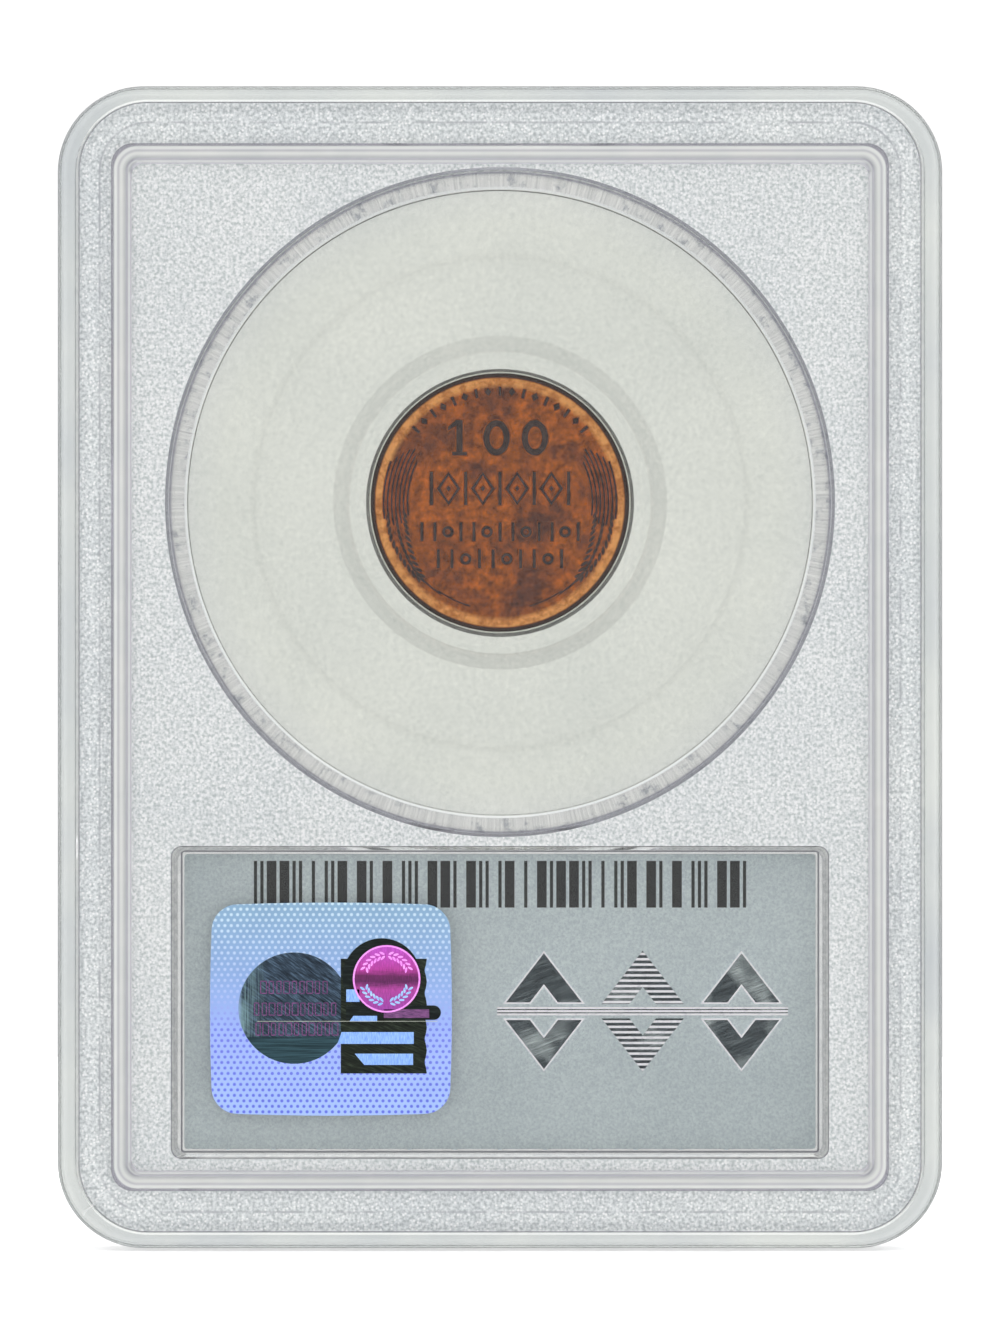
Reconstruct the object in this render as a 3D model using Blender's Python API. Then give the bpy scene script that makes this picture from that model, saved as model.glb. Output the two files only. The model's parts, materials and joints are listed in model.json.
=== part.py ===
"""Graded coin slab, standing on its lower edge with its rear face towards -Y.

Two clear shells meet at a tongue-and-groove seam that a bead of melted plastic closes.
Between them a ring holds the coin in a round well, and a printed label lies in a pocket
behind its window. A security sticker is on the outside of the rear window.
Metres, +Z up. The origin is under the middle of the slab, on the surface it stands on.
"""

from math import cos, pi, sin

import bmesh
import bpy

# Outer form
WIDTH = 0.0644
HEIGHT = 0.0846
THICKNESS = 0.0079
CORNER_RADIUS = 0.00625
REAR_ROUNDING = 0.0010
FRONT_ROUNDING = 0.0008
PLATE = 0.0015
SIDE_WALL = 0.0031
END_WALL = 0.0027

# Rear face: a stepped band round a raised stacking ridge
BAND_STEP = 0.0002
BAND_SLOPE = 0.0001
BAND_SIDE_INSET = 0.00165
BAND_END_INSET = 0.0013
RIDGE_HEIGHT = 0.0006
RIDGE_WIDTH = 0.0015
RIDGE_SLOPE = 0.0003
RIDGE_SIDE_INSET = 0.00393
RIDGE_END_INSET = 0.00422
RIDGE_OUTER_RADIUS = 0.0016
RIDGE_INNER_RADIUS = 0.00085

# Front face: a raised rim, into which the ridge of the next slab drops
RIM_HEIGHT = 0.0008
RIM_SLOPE = 0.0003
STACK_CLEARANCE = 0.00015

# Seam
SEAM_GAP = 0.0001
TONGUE_INSET = 0.0012
TONGUE_WIDTH = 0.0006
TONGUE_HEIGHT = 0.0006
GROOVE_CLEARANCE = 0.0001
BEAD_HEIGHT = 0.0003
BEAD_CLEARANCE = 0.00006

# Round well and its window
WELL_SIDE_BAND = 0.0081
WELL_TOP_BAND = 0.0062
WELL_WALL = 0.0011
WINDOW_STEP = 0.00015
WINDOW_MARGIN = 0.00005

# Ring and coin
COIN_DIAMETER = 0.01905
COIN_THICKNESS = 0.00152
COIN_RIM_WIDTH = 0.00075
COIN_RIM_HEIGHT = 0.0001
COIN_CLEARANCE = 0.00008
COIN_FACE_CLEARANCE = 0.00005
RING_CLEARANCE = 0.00015
RING_FACE_CLEARANCE = 0.0001
RING_LIP = 0.00018
RING_LIP_SHARE = 2 / 7    # of the space beside the coin's face
RING_COLLAR_TOP = 0.0002
RING_COLLAR_CHAMFER = 0.0008
RING_CONE = 0.0015
RING_WEB_RECESS = 0.00085
RING_FLANGE_RECESS = 0.00065
RING_FLANGE_WIDTH = 0.0050
RING_FLANGE_SLOPE = 0.0002

# Label, its pocket and its windows
LABEL_WIDTH = 0.0460
LABEL_HEIGHT = 0.0215
LABEL_THICKNESS = 0.00035
LABEL_FROM_BOTTOM = 0.00718
LABEL_CLEARANCE = 0.0001
POCKET_CLEARANCE = 0.00015
POCKET_LEDGE = 0.0007
POCKET_LIP = 0.00065
RECESS_MARGIN = 0.000925
RECESS_MARGIN_HEIGHT = 0.000625
RECESS_DEPTH = 0.0006
RECESS_RADIUS = 0.0008
BOSS_WALL = 0.0008
WELL_TO_RECESS = 0.0009

# Security sticker on the rear label window
STICKER_WIDTH = 0.0176
STICKER_HEIGHT = 0.0155
STICKER_THICKNESS = 0.00012
STICKER_RADIUS = 0.00175
STICKER_FROM_LABEL_EDGE = 0.0019
STICKER_BELOW_MIDDLE = 0.0005
STICKER_GAP = 0.00003

# Foil ornament stamped on the rear of the label
FOIL_THICKNESS = 0.00003
FOIL_GAP = 0.00002
FOIL_FROM_LABEL_EDGE = 0.0020
FOIL_BELOW_MIDDLE = 0.0007
LOZENGE_WIDTH = 0.0068
LOZENGE_HEIGHT = 0.0088
LOZENGE_STROKE = 0.0016
LOZENGE_PITCH = 0.0072
RULE_HEIGHT = 0.00062
RULE_LINE = 0.00018
RULE_GAP = 0.00022

# How finely round shapes are cut
ROUND_STEPS = 72
CORNER_STEPS = 8
EDGE_STEPS = 4

# Planes across the thickness, from the rear (-Y) to the front (+Y)
REAR_TOP = -THICKNESS / 2
REAR_FACE = REAR_TOP + RIDGE_HEIGHT
REAR_FLOOR = REAR_FACE + PLATE
FRONT_TOP = THICKNESS / 2
FRONT_FACE = FRONT_TOP - RIM_HEIGHT
FRONT_FLOOR = FRONT_FACE - PLATE
SEAM = (REAR_FLOOR + FRONT_FLOOR) / 2
REAR_SEAM = SEAM - SEAM_GAP / 2
FRONT_SEAM = SEAM + SEAM_GAP / 2
RECESS_FLOOR = REAR_FACE + RECESS_DEPTH
LABEL_REAR = REAR_FLOOR + RECESS_DEPTH + LABEL_CLEARANCE
LABEL_FRONT = LABEL_REAR + LABEL_THICKNESS
LEDGE = LABEL_FRONT + LABEL_CLEARANCE

# Places in the slab's face
LABEL_MIDDLE = LABEL_FROM_BOTTOM + LABEL_HEIGHT / 2
RECESS_WIDTH = LABEL_WIDTH + 2 * RECESS_MARGIN
RECESS_HEIGHT = LABEL_HEIGHT + 2 * RECESS_MARGIN_HEIGHT
WELL_BOTTOM = LABEL_MIDDLE + RECESS_HEIGHT / 2 + WELL_TO_RECESS
WELL_TOP = HEIGHT - WELL_TOP_BAND
WELL_MIDDLE = (WELL_TOP + WELL_BOTTOM) / 2
# The well is the largest circle that the sides and the label leave room for.
WELL_OUTER_RADIUS = min(WIDTH / 2 - WELL_SIDE_BAND, (WELL_TOP - WELL_BOTTOM) / 2)
WELL_INNER_RADIUS = WELL_OUTER_RADIUS - WELL_WALL
WINDOW_RADIUS = WELL_OUTER_RADIUS + WINDOW_MARGIN


# ---------------------------------------------------------------- helpers


def clear_scene():
    for old in list(bpy.data.objects):
        bpy.data.objects.remove(old, do_unlink=True)


def material(name, colour, roughness, metallic=0.0, transmission=0.0):
    made = bpy.data.materials.new(name)
    made.use_nodes = True
    shader = made.node_tree.nodes["Principled BSDF"]
    shader.inputs["Base Color"].default_value = (*colour, 1.0)
    shader.inputs["Roughness"].default_value = roughness
    shader.inputs["Metallic"].default_value = metallic
    shader.inputs["Transmission Weight"].default_value = transmission
    return made


def add_object(name, bm, place, surface=None):
    """Turns a bmesh into an object whose origin is at place."""
    bmesh.ops.recalc_face_normals(bm, faces=bm.faces)
    mesh = bpy.data.meshes.new(name)
    bm.to_mesh(mesh)
    bm.free()
    made = bpy.data.objects.new(name, mesh)
    made.location = place
    bpy.context.scene.collection.objects.link(made)
    if surface is not None:
        mesh.materials.append(surface)
        mesh.shade_smooth()
        mesh.set_sharp_from_angle(angle=pi / 6)
    return made


def boolean(target, tool, operation):
    """Joins a helper shape to the target, or cuts it away. The helper itself isn't rendered."""
    tool.hide_render = True
    tool.display_type = "WIRE"
    step = target.modifiers.new(tool.name, "BOOLEAN")
    step.operation = operation
    step.solver = "EXACT"
    step.object = tool


def outline(section):
    """The points of a rounded rectangle across Y: (width, height, corner radius, y)."""
    width, height, radius, y = section
    points = []
    for quarter in range(4):
        side = 1 if quarter in (0, 3) else -1
        end = 1 if quarter < 2 else -1
        for step in range(CORNER_STEPS + 1):
            angle = (quarter + step / CORNER_STEPS) * pi / 2
            x = side * (width / 2 - radius) + radius * cos(angle)
            z = end * (height / 2 - radius) + radius * sin(angle)
            points.append((x, y, z))
    return points


def grow(bm, ring, points):
    """Extrudes a ring of vertices and moves the new ring to the given points."""
    edges = [bm.edges.get((a, b)) for a, b in zip(ring, ring[1:] + ring[:1])]
    made = bmesh.ops.extrude_edge_only(bm, edges=edges)["geom"]
    fresh = {item for item in made if isinstance(item, bmesh.types.BMVert)}
    grown = []
    for old, point in zip(ring, points):
        new = next(edge.other_vert(old) for edge in old.link_edges if edge.other_vert(old) in fresh)
        new.co = point
        grown.append(new)
    return grown


def loft(sections, capped=True):
    """Skins rounded rectangles in turn. Uncapped, the last joins the first, as a closed ring."""
    bm = bmesh.new()
    ring = [bm.verts.new(point) for point in outline(sections[0])]
    first = [bm.edges.new((a, b)) for a, b in zip(ring, ring[1:] + ring[:1])]
    for section in sections[1:]:
        ring = grow(bm, ring, outline(section))
    if capped:
        last = [bm.edges.get((a, b)) for a, b in zip(ring, ring[1:] + ring[:1])]
        for end in (first, last):
            bmesh.ops.edgeloop_fill(bm, edges=end)
    else:
        grow(bm, ring, outline(sections[0]))
        bmesh.ops.remove_doubles(bm, verts=bm.verts, dist=1e-7)
    return bm


def turned(profile):
    """Spins a closed profile of (radius, y) points about the Y axis."""
    bm = bmesh.new()
    points = [bm.verts.new((radius, y, 0)) for radius, y in profile]
    pairs = list(zip(points, points[1:]))
    if profile[0][0] > 0:
        pairs.append((points[-1], points[0]))
    edges = [bm.edges.new(pair) for pair in pairs]
    bmesh.ops.spin(
        bm, geom=points + edges, cent=(0, 0, 0), axis=(0, 1, 0),
        angle=2 * pi, steps=ROUND_STEPS, use_merge=True,
    )
    bmesh.ops.remove_doubles(bm, verts=bm.verts, dist=1e-7)
    return bm


def prism(points, y_low, y_high):
    """Extrudes an outline of (x, z) points along Y."""
    bm = bmesh.new()
    face = bm.faces.new([bm.verts.new((x, y_low, z)) for x, z in points])
    grown = bmesh.ops.extrude_face_region(bm, geom=[face], use_keep_orig=True)
    moved = [item for item in grown["geom"] if isinstance(item, bmesh.types.BMVert)]
    bmesh.ops.translate(bm, verts=moved, vec=(0, y_high - y_low, 0))
    return bm


def rectangle(width, height, x=0.0, z=0.0):
    return [
        (x - width / 2, z - height / 2), (x + width / 2, z - height / 2),
        (x + width / 2, z + height / 2), (x - width / 2, z + height / 2),
    ]


# ---------------------------------------------------------------- shells


def inset(side, end, y, radius=None):
    """The slab's outline, drawn in by side and end. Its corners stay concentric unless a radius is given."""
    if radius is None:
        radius = CORNER_RADIUS - min(side, end)
    return (WIDTH - 2 * side, HEIGHT - 2 * end, radius, y)


def ridge_section(inward, y):
    """A line of the stacking ridge, inward from its outer foot."""
    share = inward / RIDGE_WIDTH
    radius = RIDGE_OUTER_RADIUS + share * (RIDGE_INNER_RADIUS - RIDGE_OUTER_RADIUS)
    return inset(RIDGE_SIDE_INSET + inward, RIDGE_END_INSET + inward, y, radius)


def rounded_edge(radius, face, outward):
    """The rounded outer edge, from the face at y = face down to the side wall."""
    sections = []
    for step in range(EDGE_STEPS + 1):
        angle = step / EDGE_STEPS * pi / 2
        drawn_in = radius * (1 - sin(angle))
        sections.append(inset(drawn_in, drawn_in, face - outward * radius * (1 - cos(angle))))
    return sections


def rear_plate_sections():
    """From the middle of the rear face, over the ridge and round the edge, to the inner floor."""
    band = REAR_FACE + BAND_STEP
    tongue_tip = REAR_SEAM + TONGUE_HEIGHT
    tongue_in = TONGUE_INSET + TONGUE_WIDTH
    return [
        ridge_section(RIDGE_WIDTH, REAR_FACE),
        ridge_section(RIDGE_WIDTH - RIDGE_SLOPE, REAR_TOP),
        ridge_section(RIDGE_SLOPE, REAR_TOP),
        ridge_section(0, REAR_FACE),
        inset(BAND_SIDE_INSET, BAND_END_INSET, REAR_FACE),
        inset(BAND_SIDE_INSET - BAND_SLOPE, BAND_END_INSET - BAND_SLOPE, band),
        *rounded_edge(REAR_ROUNDING, band, -1),
        inset(0, 0, REAR_SEAM),
        inset(TONGUE_INSET, TONGUE_INSET, REAR_SEAM),
        inset(TONGUE_INSET, TONGUE_INSET, tongue_tip),
        inset(tongue_in, tongue_in, tongue_tip),
        inset(tongue_in, tongue_in, REAR_SEAM),
        inset(SIDE_WALL, END_WALL, REAR_SEAM),
        inset(SIDE_WALL, END_WALL, REAR_FLOOR),
    ]


def front_plate_sections():
    """From the middle of the front face, over the rim and round the edge, to the inner floor."""
    rim_side = RIDGE_SIDE_INSET - STACK_CLEARANCE
    rim_end = RIDGE_END_INSET - STACK_CLEARANCE
    groove_out = TONGUE_INSET - GROOVE_CLEARANCE
    groove_in = TONGUE_INSET + TONGUE_WIDTH + GROOVE_CLEARANCE
    groove_end = REAR_SEAM + TONGUE_HEIGHT + BEAD_HEIGHT + 2 * BEAD_CLEARANCE
    return [
        inset(rim_side, rim_end, FRONT_FACE, RIDGE_OUTER_RADIUS),
        inset(rim_side - RIM_SLOPE, rim_end - RIM_SLOPE, FRONT_TOP, RIDGE_OUTER_RADIUS),
        *rounded_edge(FRONT_ROUNDING, FRONT_TOP, 1),
        inset(0, 0, FRONT_SEAM),
        inset(groove_out, groove_out, FRONT_SEAM),
        inset(groove_out, groove_out, groove_end),
        inset(groove_in, groove_in, groove_end),
        inset(groove_in, groove_in, FRONT_SEAM),
        inset(SIDE_WALL, END_WALL, FRONT_SEAM),
        inset(SIDE_WALL, END_WALL, FRONT_FLOOR),
    ]


def well_wall(name, foot, top):
    """The round wall that stands on a shell's floor. Its foot is sunk into the plate."""
    profile = [
        (WELL_INNER_RADIUS, foot), (WELL_OUTER_RADIUS, foot),
        (WELL_OUTER_RADIUS, top), (WELL_INNER_RADIUS, top),
    ]
    return add_object(name, turned(profile), (0, 0, WELL_MIDDLE))


def round_window(name, outer, inner):
    """The cutter that steps the polished window down from the frosted face."""
    profile = [(0, outer), (WINDOW_RADIUS, outer), (WINDOW_RADIUS, inner), (0, inner)]
    return add_object(name, turned(profile), (0, 0, WELL_MIDDLE))


def label_recess(name, mouth, face, floor):
    """The cutter of a label window: RECESS size at the face, label size at its floor."""
    side = RECESS_WIDTH - LABEL_WIDTH
    end = RECESS_HEIGHT - LABEL_HEIGHT
    floor_size = (RECESS_WIDTH - side / 2, RECESS_HEIGHT - end / 2, RECESS_RADIUS, floor)
    sections = [
        (RECESS_WIDTH, RECESS_HEIGHT, RECESS_RADIUS, mouth),
        (RECESS_WIDTH, RECESS_HEIGHT, RECESS_RADIUS, face),
        floor_size,
    ]
    return add_object(name, loft(sections), (0, 0, LABEL_MIDDLE))


def rear_shell(surface):
    shell = add_object("rear_shell", loft(rear_plate_sections()), (0, 0, HEIGHT / 2), surface)
    sunk = REAR_FLOOR - PLATE / 2
    boss_width = RECESS_WIDTH + 2 * BOSS_WALL
    boss_height = RECESS_HEIGHT + 2 * BOSS_WALL
    boss_top = REAR_FLOOR + RECESS_DEPTH
    boss = loft([
        (boss_width, boss_height, RECESS_RADIUS, sunk),
        (boss_width, boss_height, RECESS_RADIUS, boss_top),
    ])
    boolean(shell, add_object("rear_label_boss", boss, (0, 0, LABEL_MIDDLE)), "UNION")
    boolean(shell, well_wall("rear_well_wall", sunk, REAR_SEAM), "UNION")
    recess = label_recess("rear_label_recess", REAR_TOP - PLATE, REAR_FACE, RECESS_FLOOR)
    boolean(shell, recess, "DIFFERENCE")
    window = round_window("rear_round_window", REAR_TOP - PLATE, REAR_FACE + WINDOW_STEP)
    boolean(shell, window, "DIFFERENCE")


def pocket_sections(foot):
    """The label's pocket frame: a ledge under the label's edge and a lip round it."""
    rebate = 2 * POCKET_CLEARANCE
    outer = rebate + 2 * POCKET_LIP
    ledge = -2 * POCKET_LEDGE
    radius = POCKET_CLEARANCE
    outer_radius = POCKET_CLEARANCE + POCKET_LIP
    lip_top = LABEL_REAR
    return [
        (LABEL_WIDTH + outer, LABEL_HEIGHT + outer, outer_radius, foot),
        (LABEL_WIDTH + outer, LABEL_HEIGHT + outer, outer_radius, lip_top),
        (LABEL_WIDTH + rebate, LABEL_HEIGHT + rebate, radius, lip_top),
        (LABEL_WIDTH + rebate, LABEL_HEIGHT + rebate, radius, LEDGE),
        (LABEL_WIDTH + ledge, LABEL_HEIGHT + ledge, radius, LEDGE),
        (LABEL_WIDTH + ledge, LABEL_HEIGHT + ledge, radius, foot),
    ]


def front_shell(surface):
    shell = add_object("front_shell", loft(front_plate_sections()), (0, 0, HEIGHT / 2), surface)
    sunk = FRONT_FLOOR + PLATE / 2
    boolean(shell, well_wall("front_well_wall", sunk, FRONT_SEAM), "UNION")
    frame = loft(pocket_sections(sunk), capped=False)
    pocket = add_object("front_pocket_frame", frame, (0, 0, LABEL_MIDDLE))
    boolean(shell, pocket, "UNION")
    window = round_window("front_round_window", FRONT_TOP + PLATE, FRONT_FACE - WINDOW_STEP)
    boolean(shell, window, "DIFFERENCE")
    recess = label_recess("front_label_recess", FRONT_TOP + PLATE, FRONT_FACE, FRONT_FACE - WINDOW_STEP)
    boolean(shell, recess, "DIFFERENCE")


def weld_bead(surface):
    """The melted plastic that fills the bottom of the groove, past the tongue's tip."""
    low = REAR_SEAM + TONGUE_HEIGHT + BEAD_CLEARANCE
    high = low + BEAD_HEIGHT
    near = TONGUE_INSET
    far = TONGUE_INSET + TONGUE_WIDTH
    sections = [inset(near, near, low), inset(near, near, high), inset(far, far, high), inset(far, far, low)]
    add_object("weld_bead", loft(sections, capped=False), (0, 0, HEIGHT / 2), surface)


# ---------------------------------------------------------------- ring and coin


def ring_half_profile():
    """One half of the ring's section, as (radius, distance from its middle plane), rim to bore."""
    outer = WELL_INNER_RADIUS - RING_CLEARANCE
    flange = WELL_INNER_RADIUS - RING_FLANGE_WIDTH
    bore = COIN_DIAMETER / 2 + COIN_CLEARANCE
    lip = bore - RING_LIP
    lip_foot = COIN_THICKNESS / 2 + COIN_FACE_CLEARANCE
    collar_inner = bore + RING_COLLAR_CHAMFER
    collar_outer = collar_inner + RING_COLLAR_TOP
    web = collar_outer + RING_CONE
    half_cavity = (FRONT_FLOOR - REAR_FLOOR) / 2
    collar = half_cavity - RING_FACE_CLEARANCE
    return [
        (outer, half_cavity - RING_FLANGE_RECESS),
        (flange + RING_FLANGE_SLOPE, half_cavity - RING_FLANGE_RECESS),
        (flange, half_cavity - RING_WEB_RECESS),
        (web, half_cavity - RING_WEB_RECESS),
        (collar_outer, collar),
        (collar_inner, collar),
        (lip, lip_foot + RING_LIP_SHARE * (collar - lip_foot)),
        (lip, lip_foot),
        (bore, lip_foot),
    ]


def coin_ring(surface):
    half = ring_half_profile()
    profile = [(radius, -y) for radius, y in half] + [(radius, y) for radius, y in reversed(half)]
    add_object("coin_ring", turned(profile), (0, SEAM, WELL_MIDDLE), surface)


def coin(surface):
    """The coin turns about its own axis in the ring, so its origin is at its middle."""
    radius = COIN_DIAMETER / 2
    rim = COIN_THICKNESS / 2
    field = rim - COIN_RIM_HEIGHT
    inner = radius - COIN_RIM_WIDTH
    profile = [
        (0, -field), (inner, -field), (inner + COIN_RIM_HEIGHT, -rim), (radius, -rim),
        (radius, rim), (inner + COIN_RIM_HEIGHT, rim), (inner, field), (0, field),
    ]
    add_object("coin", turned(profile), (0, SEAM, WELL_MIDDLE), surface)


# ---------------------------------------------------------------- label, foil and sticker


def grading_label(surface):
    card = prism(rectangle(LABEL_WIDTH, LABEL_HEIGHT), LABEL_REAR, LABEL_FRONT)
    add_object("grading_label", card, (0, 0, LABEL_MIDDLE), surface)


def foil_place():
    """The middle of the foil ornament, and its whole width."""
    width = 2 * LOZENGE_PITCH + LOZENGE_WIDTH
    middle = LABEL_WIDTH / 2 - FOIL_FROM_LABEL_EDGE - width / 2
    return (middle, 0, LABEL_MIDDLE - FOIL_BELOW_MIDDLE), width


def foil_rule(surface, place, width, y_low, y_high):
    """Three thin lines, joined at their ends, across the whole ornament."""
    rule = add_object("foil_rule", prism(rectangle(width, RULE_HEIGHT), y_low, y_high), place, surface)
    slot_height = (RULE_HEIGHT - 3 * RULE_LINE) / 2
    for side, word in ((-1, "lower"), (1, "upper")):
        slot = rectangle(width - 2 * RULE_LINE, slot_height, 0, side * (RULE_LINE + slot_height) / 2)
        cutter = prism(slot, y_low - FOIL_THICKNESS, y_high + FOIL_THICKNESS)
        boolean(rule, add_object("foil_rule_slot_" + word, cutter, place), "DIFFERENCE")


def lozenge_half(side):
    """Half of a lozenge's frame, above (side 1) or below (side -1) the rule."""
    foot = RULE_HEIGHT / 2 + RULE_GAP
    slope = LOZENGE_HEIGHT / LOZENGE_WIDTH
    outer_top = LOZENGE_HEIGHT / 2
    inner_top = outer_top - LOZENGE_STROKE * (1 + slope**2) ** 0.5
    outer_foot = (outer_top - foot) / slope
    inner_foot = (inner_top - foot) / slope
    return [
        (-outer_foot, side * foot), (-inner_foot, side * foot), (0, side * inner_top),
        (inner_foot, side * foot), (outer_foot, side * foot), (0, side * outer_top),
    ]


def foil_ornament(surface):
    """Three lozenges in a row, parted through the middle by a triple rule."""
    place, width = foil_place()
    y_high = LABEL_REAR - FOIL_GAP
    y_low = y_high - FOIL_THICKNESS
    foil_rule(surface, place, width, y_low, y_high)
    for column, across in ((-1, "left"), (0, "middle"), (1, "right")):
        spot = (place[0] + column * LOZENGE_PITCH, place[1], place[2])
        for side, half in ((1, "upper"), (-1, "lower")):
            shape = prism(lozenge_half(side), y_low, y_high)
            add_object(f"foil_lozenge_{across}_{half}", shape, spot, surface)


def hologram_sticker(surface):
    y_high = RECESS_FLOOR - STICKER_GAP
    y_low = y_high - STICKER_THICKNESS
    x = -LABEL_WIDTH / 2 + STICKER_FROM_LABEL_EDGE + STICKER_WIDTH / 2
    z = LABEL_MIDDLE - STICKER_BELOW_MIDDLE
    film = loft([
        (STICKER_WIDTH, STICKER_HEIGHT, STICKER_RADIUS, y_low),
        (STICKER_WIDTH, STICKER_HEIGHT, STICKER_RADIUS, y_high),
    ])
    add_object("hologram_sticker", film, (x, 0, z), surface)


# ---------------------------------------------------------------- build


def build():
    clear_scene()
    clear_plastic = material("clear_plastic", (0.86, 0.88, 0.89), 0.25, transmission=1.0)
    ring_plastic = material("ring_plastic", (0.85, 0.86, 0.84), 0.15, transmission=1.0)
    bead_plastic = material("bead_plastic", (0.80, 0.82, 0.82), 0.35, transmission=0.8)
    coin_bronze = material("coin_bronze", (0.42, 0.18, 0.07), 0.35, metallic=1.0)
    label_card = material("label_card", (0.38, 0.42, 0.44), 0.6)
    silver_foil = material("silver_foil", (0.80, 0.81, 0.82), 0.08, metallic=1.0)
    sticker_film = material("sticker_film", (0.36, 0.50, 0.80), 0.25, metallic=0.4)
    rear_shell(clear_plastic)
    front_shell(clear_plastic)
    weld_bead(bead_plastic)
    coin_ring(ring_plastic)
    coin(coin_bronze)
    grading_label(label_card)
    foil_ornament(silver_foil)
    hologram_sticker(sticker_film)


build()
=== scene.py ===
# %% [markdown]
# # A graded coin slab
#
# A coin slab is a flat, sealed holder of clear plastic. Two moulded shells are welded round
# their edge, a clear ring holds the coin in a round well, and a printed card lies behind its
# own window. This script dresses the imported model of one: it makes each visible piece
# again at a finer grain, in the place that the frame gives, and gives it a finish.

# %% Load the fixed frame
import json
from math import cos, pi, radians, sin

import bmesh
import bpy
from mathutils import Matrix, Vector

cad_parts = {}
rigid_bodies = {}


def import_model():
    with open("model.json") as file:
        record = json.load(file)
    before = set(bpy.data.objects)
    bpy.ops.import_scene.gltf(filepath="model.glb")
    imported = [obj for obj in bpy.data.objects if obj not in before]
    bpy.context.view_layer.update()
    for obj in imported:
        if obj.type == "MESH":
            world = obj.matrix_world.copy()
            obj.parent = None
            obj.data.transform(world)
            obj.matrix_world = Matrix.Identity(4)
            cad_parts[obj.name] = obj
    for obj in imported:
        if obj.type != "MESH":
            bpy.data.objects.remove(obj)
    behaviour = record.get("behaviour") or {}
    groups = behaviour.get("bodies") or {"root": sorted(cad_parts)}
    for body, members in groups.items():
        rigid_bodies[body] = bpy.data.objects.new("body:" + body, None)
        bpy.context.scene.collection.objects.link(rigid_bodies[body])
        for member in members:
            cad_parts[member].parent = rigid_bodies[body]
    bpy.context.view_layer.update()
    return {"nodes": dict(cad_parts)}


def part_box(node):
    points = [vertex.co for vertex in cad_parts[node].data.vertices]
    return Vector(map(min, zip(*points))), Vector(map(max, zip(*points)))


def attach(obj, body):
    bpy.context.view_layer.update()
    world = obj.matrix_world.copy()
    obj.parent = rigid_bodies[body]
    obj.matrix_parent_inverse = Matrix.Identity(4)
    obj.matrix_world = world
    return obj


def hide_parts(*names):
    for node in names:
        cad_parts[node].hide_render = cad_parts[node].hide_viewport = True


for leftover in list(bpy.data.objects):
    bpy.data.objects.remove(leftover)
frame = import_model()
scene = bpy.context.scene
mm = 0.001
SAME_PLACE = 0.0001 * mm

# %% [markdown]
# ## Places and sizes
#
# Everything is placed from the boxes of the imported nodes. The rear face looks along -Y, the
# front face along +Y, and the slab stands on its lower edge. The boxes don't say how thick
# a wall is or how far the ridge lies from the edge, so those sizes are named here.

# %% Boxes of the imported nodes
rear_low, rear_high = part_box("rear_shell")
front_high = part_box("front_shell")[1]
ring_low, ring_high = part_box("coin_ring")
coin_low, coin_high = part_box("coin")
label_low, label_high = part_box("grading_label")
sticker_low, sticker_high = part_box("hologram_sticker")
rule_low, rule_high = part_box("foil_rule")

WIDTH = rear_high.x - rear_low.x
HEIGHT = rear_high.z - rear_low.z
SLAB_MIDDLE = HEIGHT / 2
COIN_MIDDLE = (coin_low + coin_high) / 2
COIN_RADIUS = (coin_high.x - coin_low.x) / 2
LABEL_MIDDLE = (label_low + label_high) / 2
LABEL_WIDTH = label_high.x - label_low.x
LABEL_HEIGHT = label_high.z - label_low.z
print(f"slab {WIDTH / mm:.1f} x {HEIGHT / mm:.1f} mm, coin {2 * COIN_RADIUS / mm:.2f} mm")

# %% Sizes inside the shells
CORNER_RADIUS = 6.25 * mm
REAR_ROUNDING = 1.0 * mm
FRONT_ROUNDING = 0.8 * mm
PLATE = 1.5 * mm
SIDE_WALL = 3.1 * mm
END_WALL = 2.7 * mm
BAND_STEP = 0.2 * mm
BAND_SLOPE = 0.1 * mm
BAND_SIDE_INSET = 1.65 * mm
BAND_END_INSET = 1.3 * mm
RIDGE_HEIGHT = 0.6 * mm
RIDGE_WIDTH = 1.5 * mm
RIDGE_SLOPE = 0.3 * mm
RIDGE_SIDE_INSET = 3.93 * mm
RIDGE_END_INSET = 4.22 * mm
RIDGE_OUTER_RADIUS = 1.6 * mm
RIDGE_INNER_RADIUS = 0.85 * mm
RIM_HEIGHT = 0.8 * mm
RIM_SLOPE = 0.3 * mm
STACK_CLEARANCE = 0.15 * mm
TONGUE_INSET = 1.2 * mm
TONGUE_WIDTH = 0.6 * mm
GROOVE_CLEARANCE = 0.1 * mm
BEAD_ROOM = 0.42 * mm
SEAM_GAP = 0.1 * mm
RING_CLEARANCE = 0.15 * mm
WELL_WALL = 1.1 * mm
WINDOW_STEP = 0.15 * mm
WINDOW_MARGIN = 0.25 * mm
RECESS_WIDTH = LABEL_WIDTH + 2 * 0.925 * mm
RECESS_HEIGHT = LABEL_HEIGHT + 2 * 0.625 * mm
RECESS_DEPTH = 0.6 * mm
RECESS_RADIUS = 0.8 * mm
BOSS_WALL = 0.8 * mm
POCKET_CLEARANCE = 0.15 * mm
POCKET_LEDGE = 0.7 * mm
POCKET_LIP = 0.65 * mm
POCKET_SHADE = 0.12 * mm
LABEL_CLEARANCE = 0.1 * mm

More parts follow.
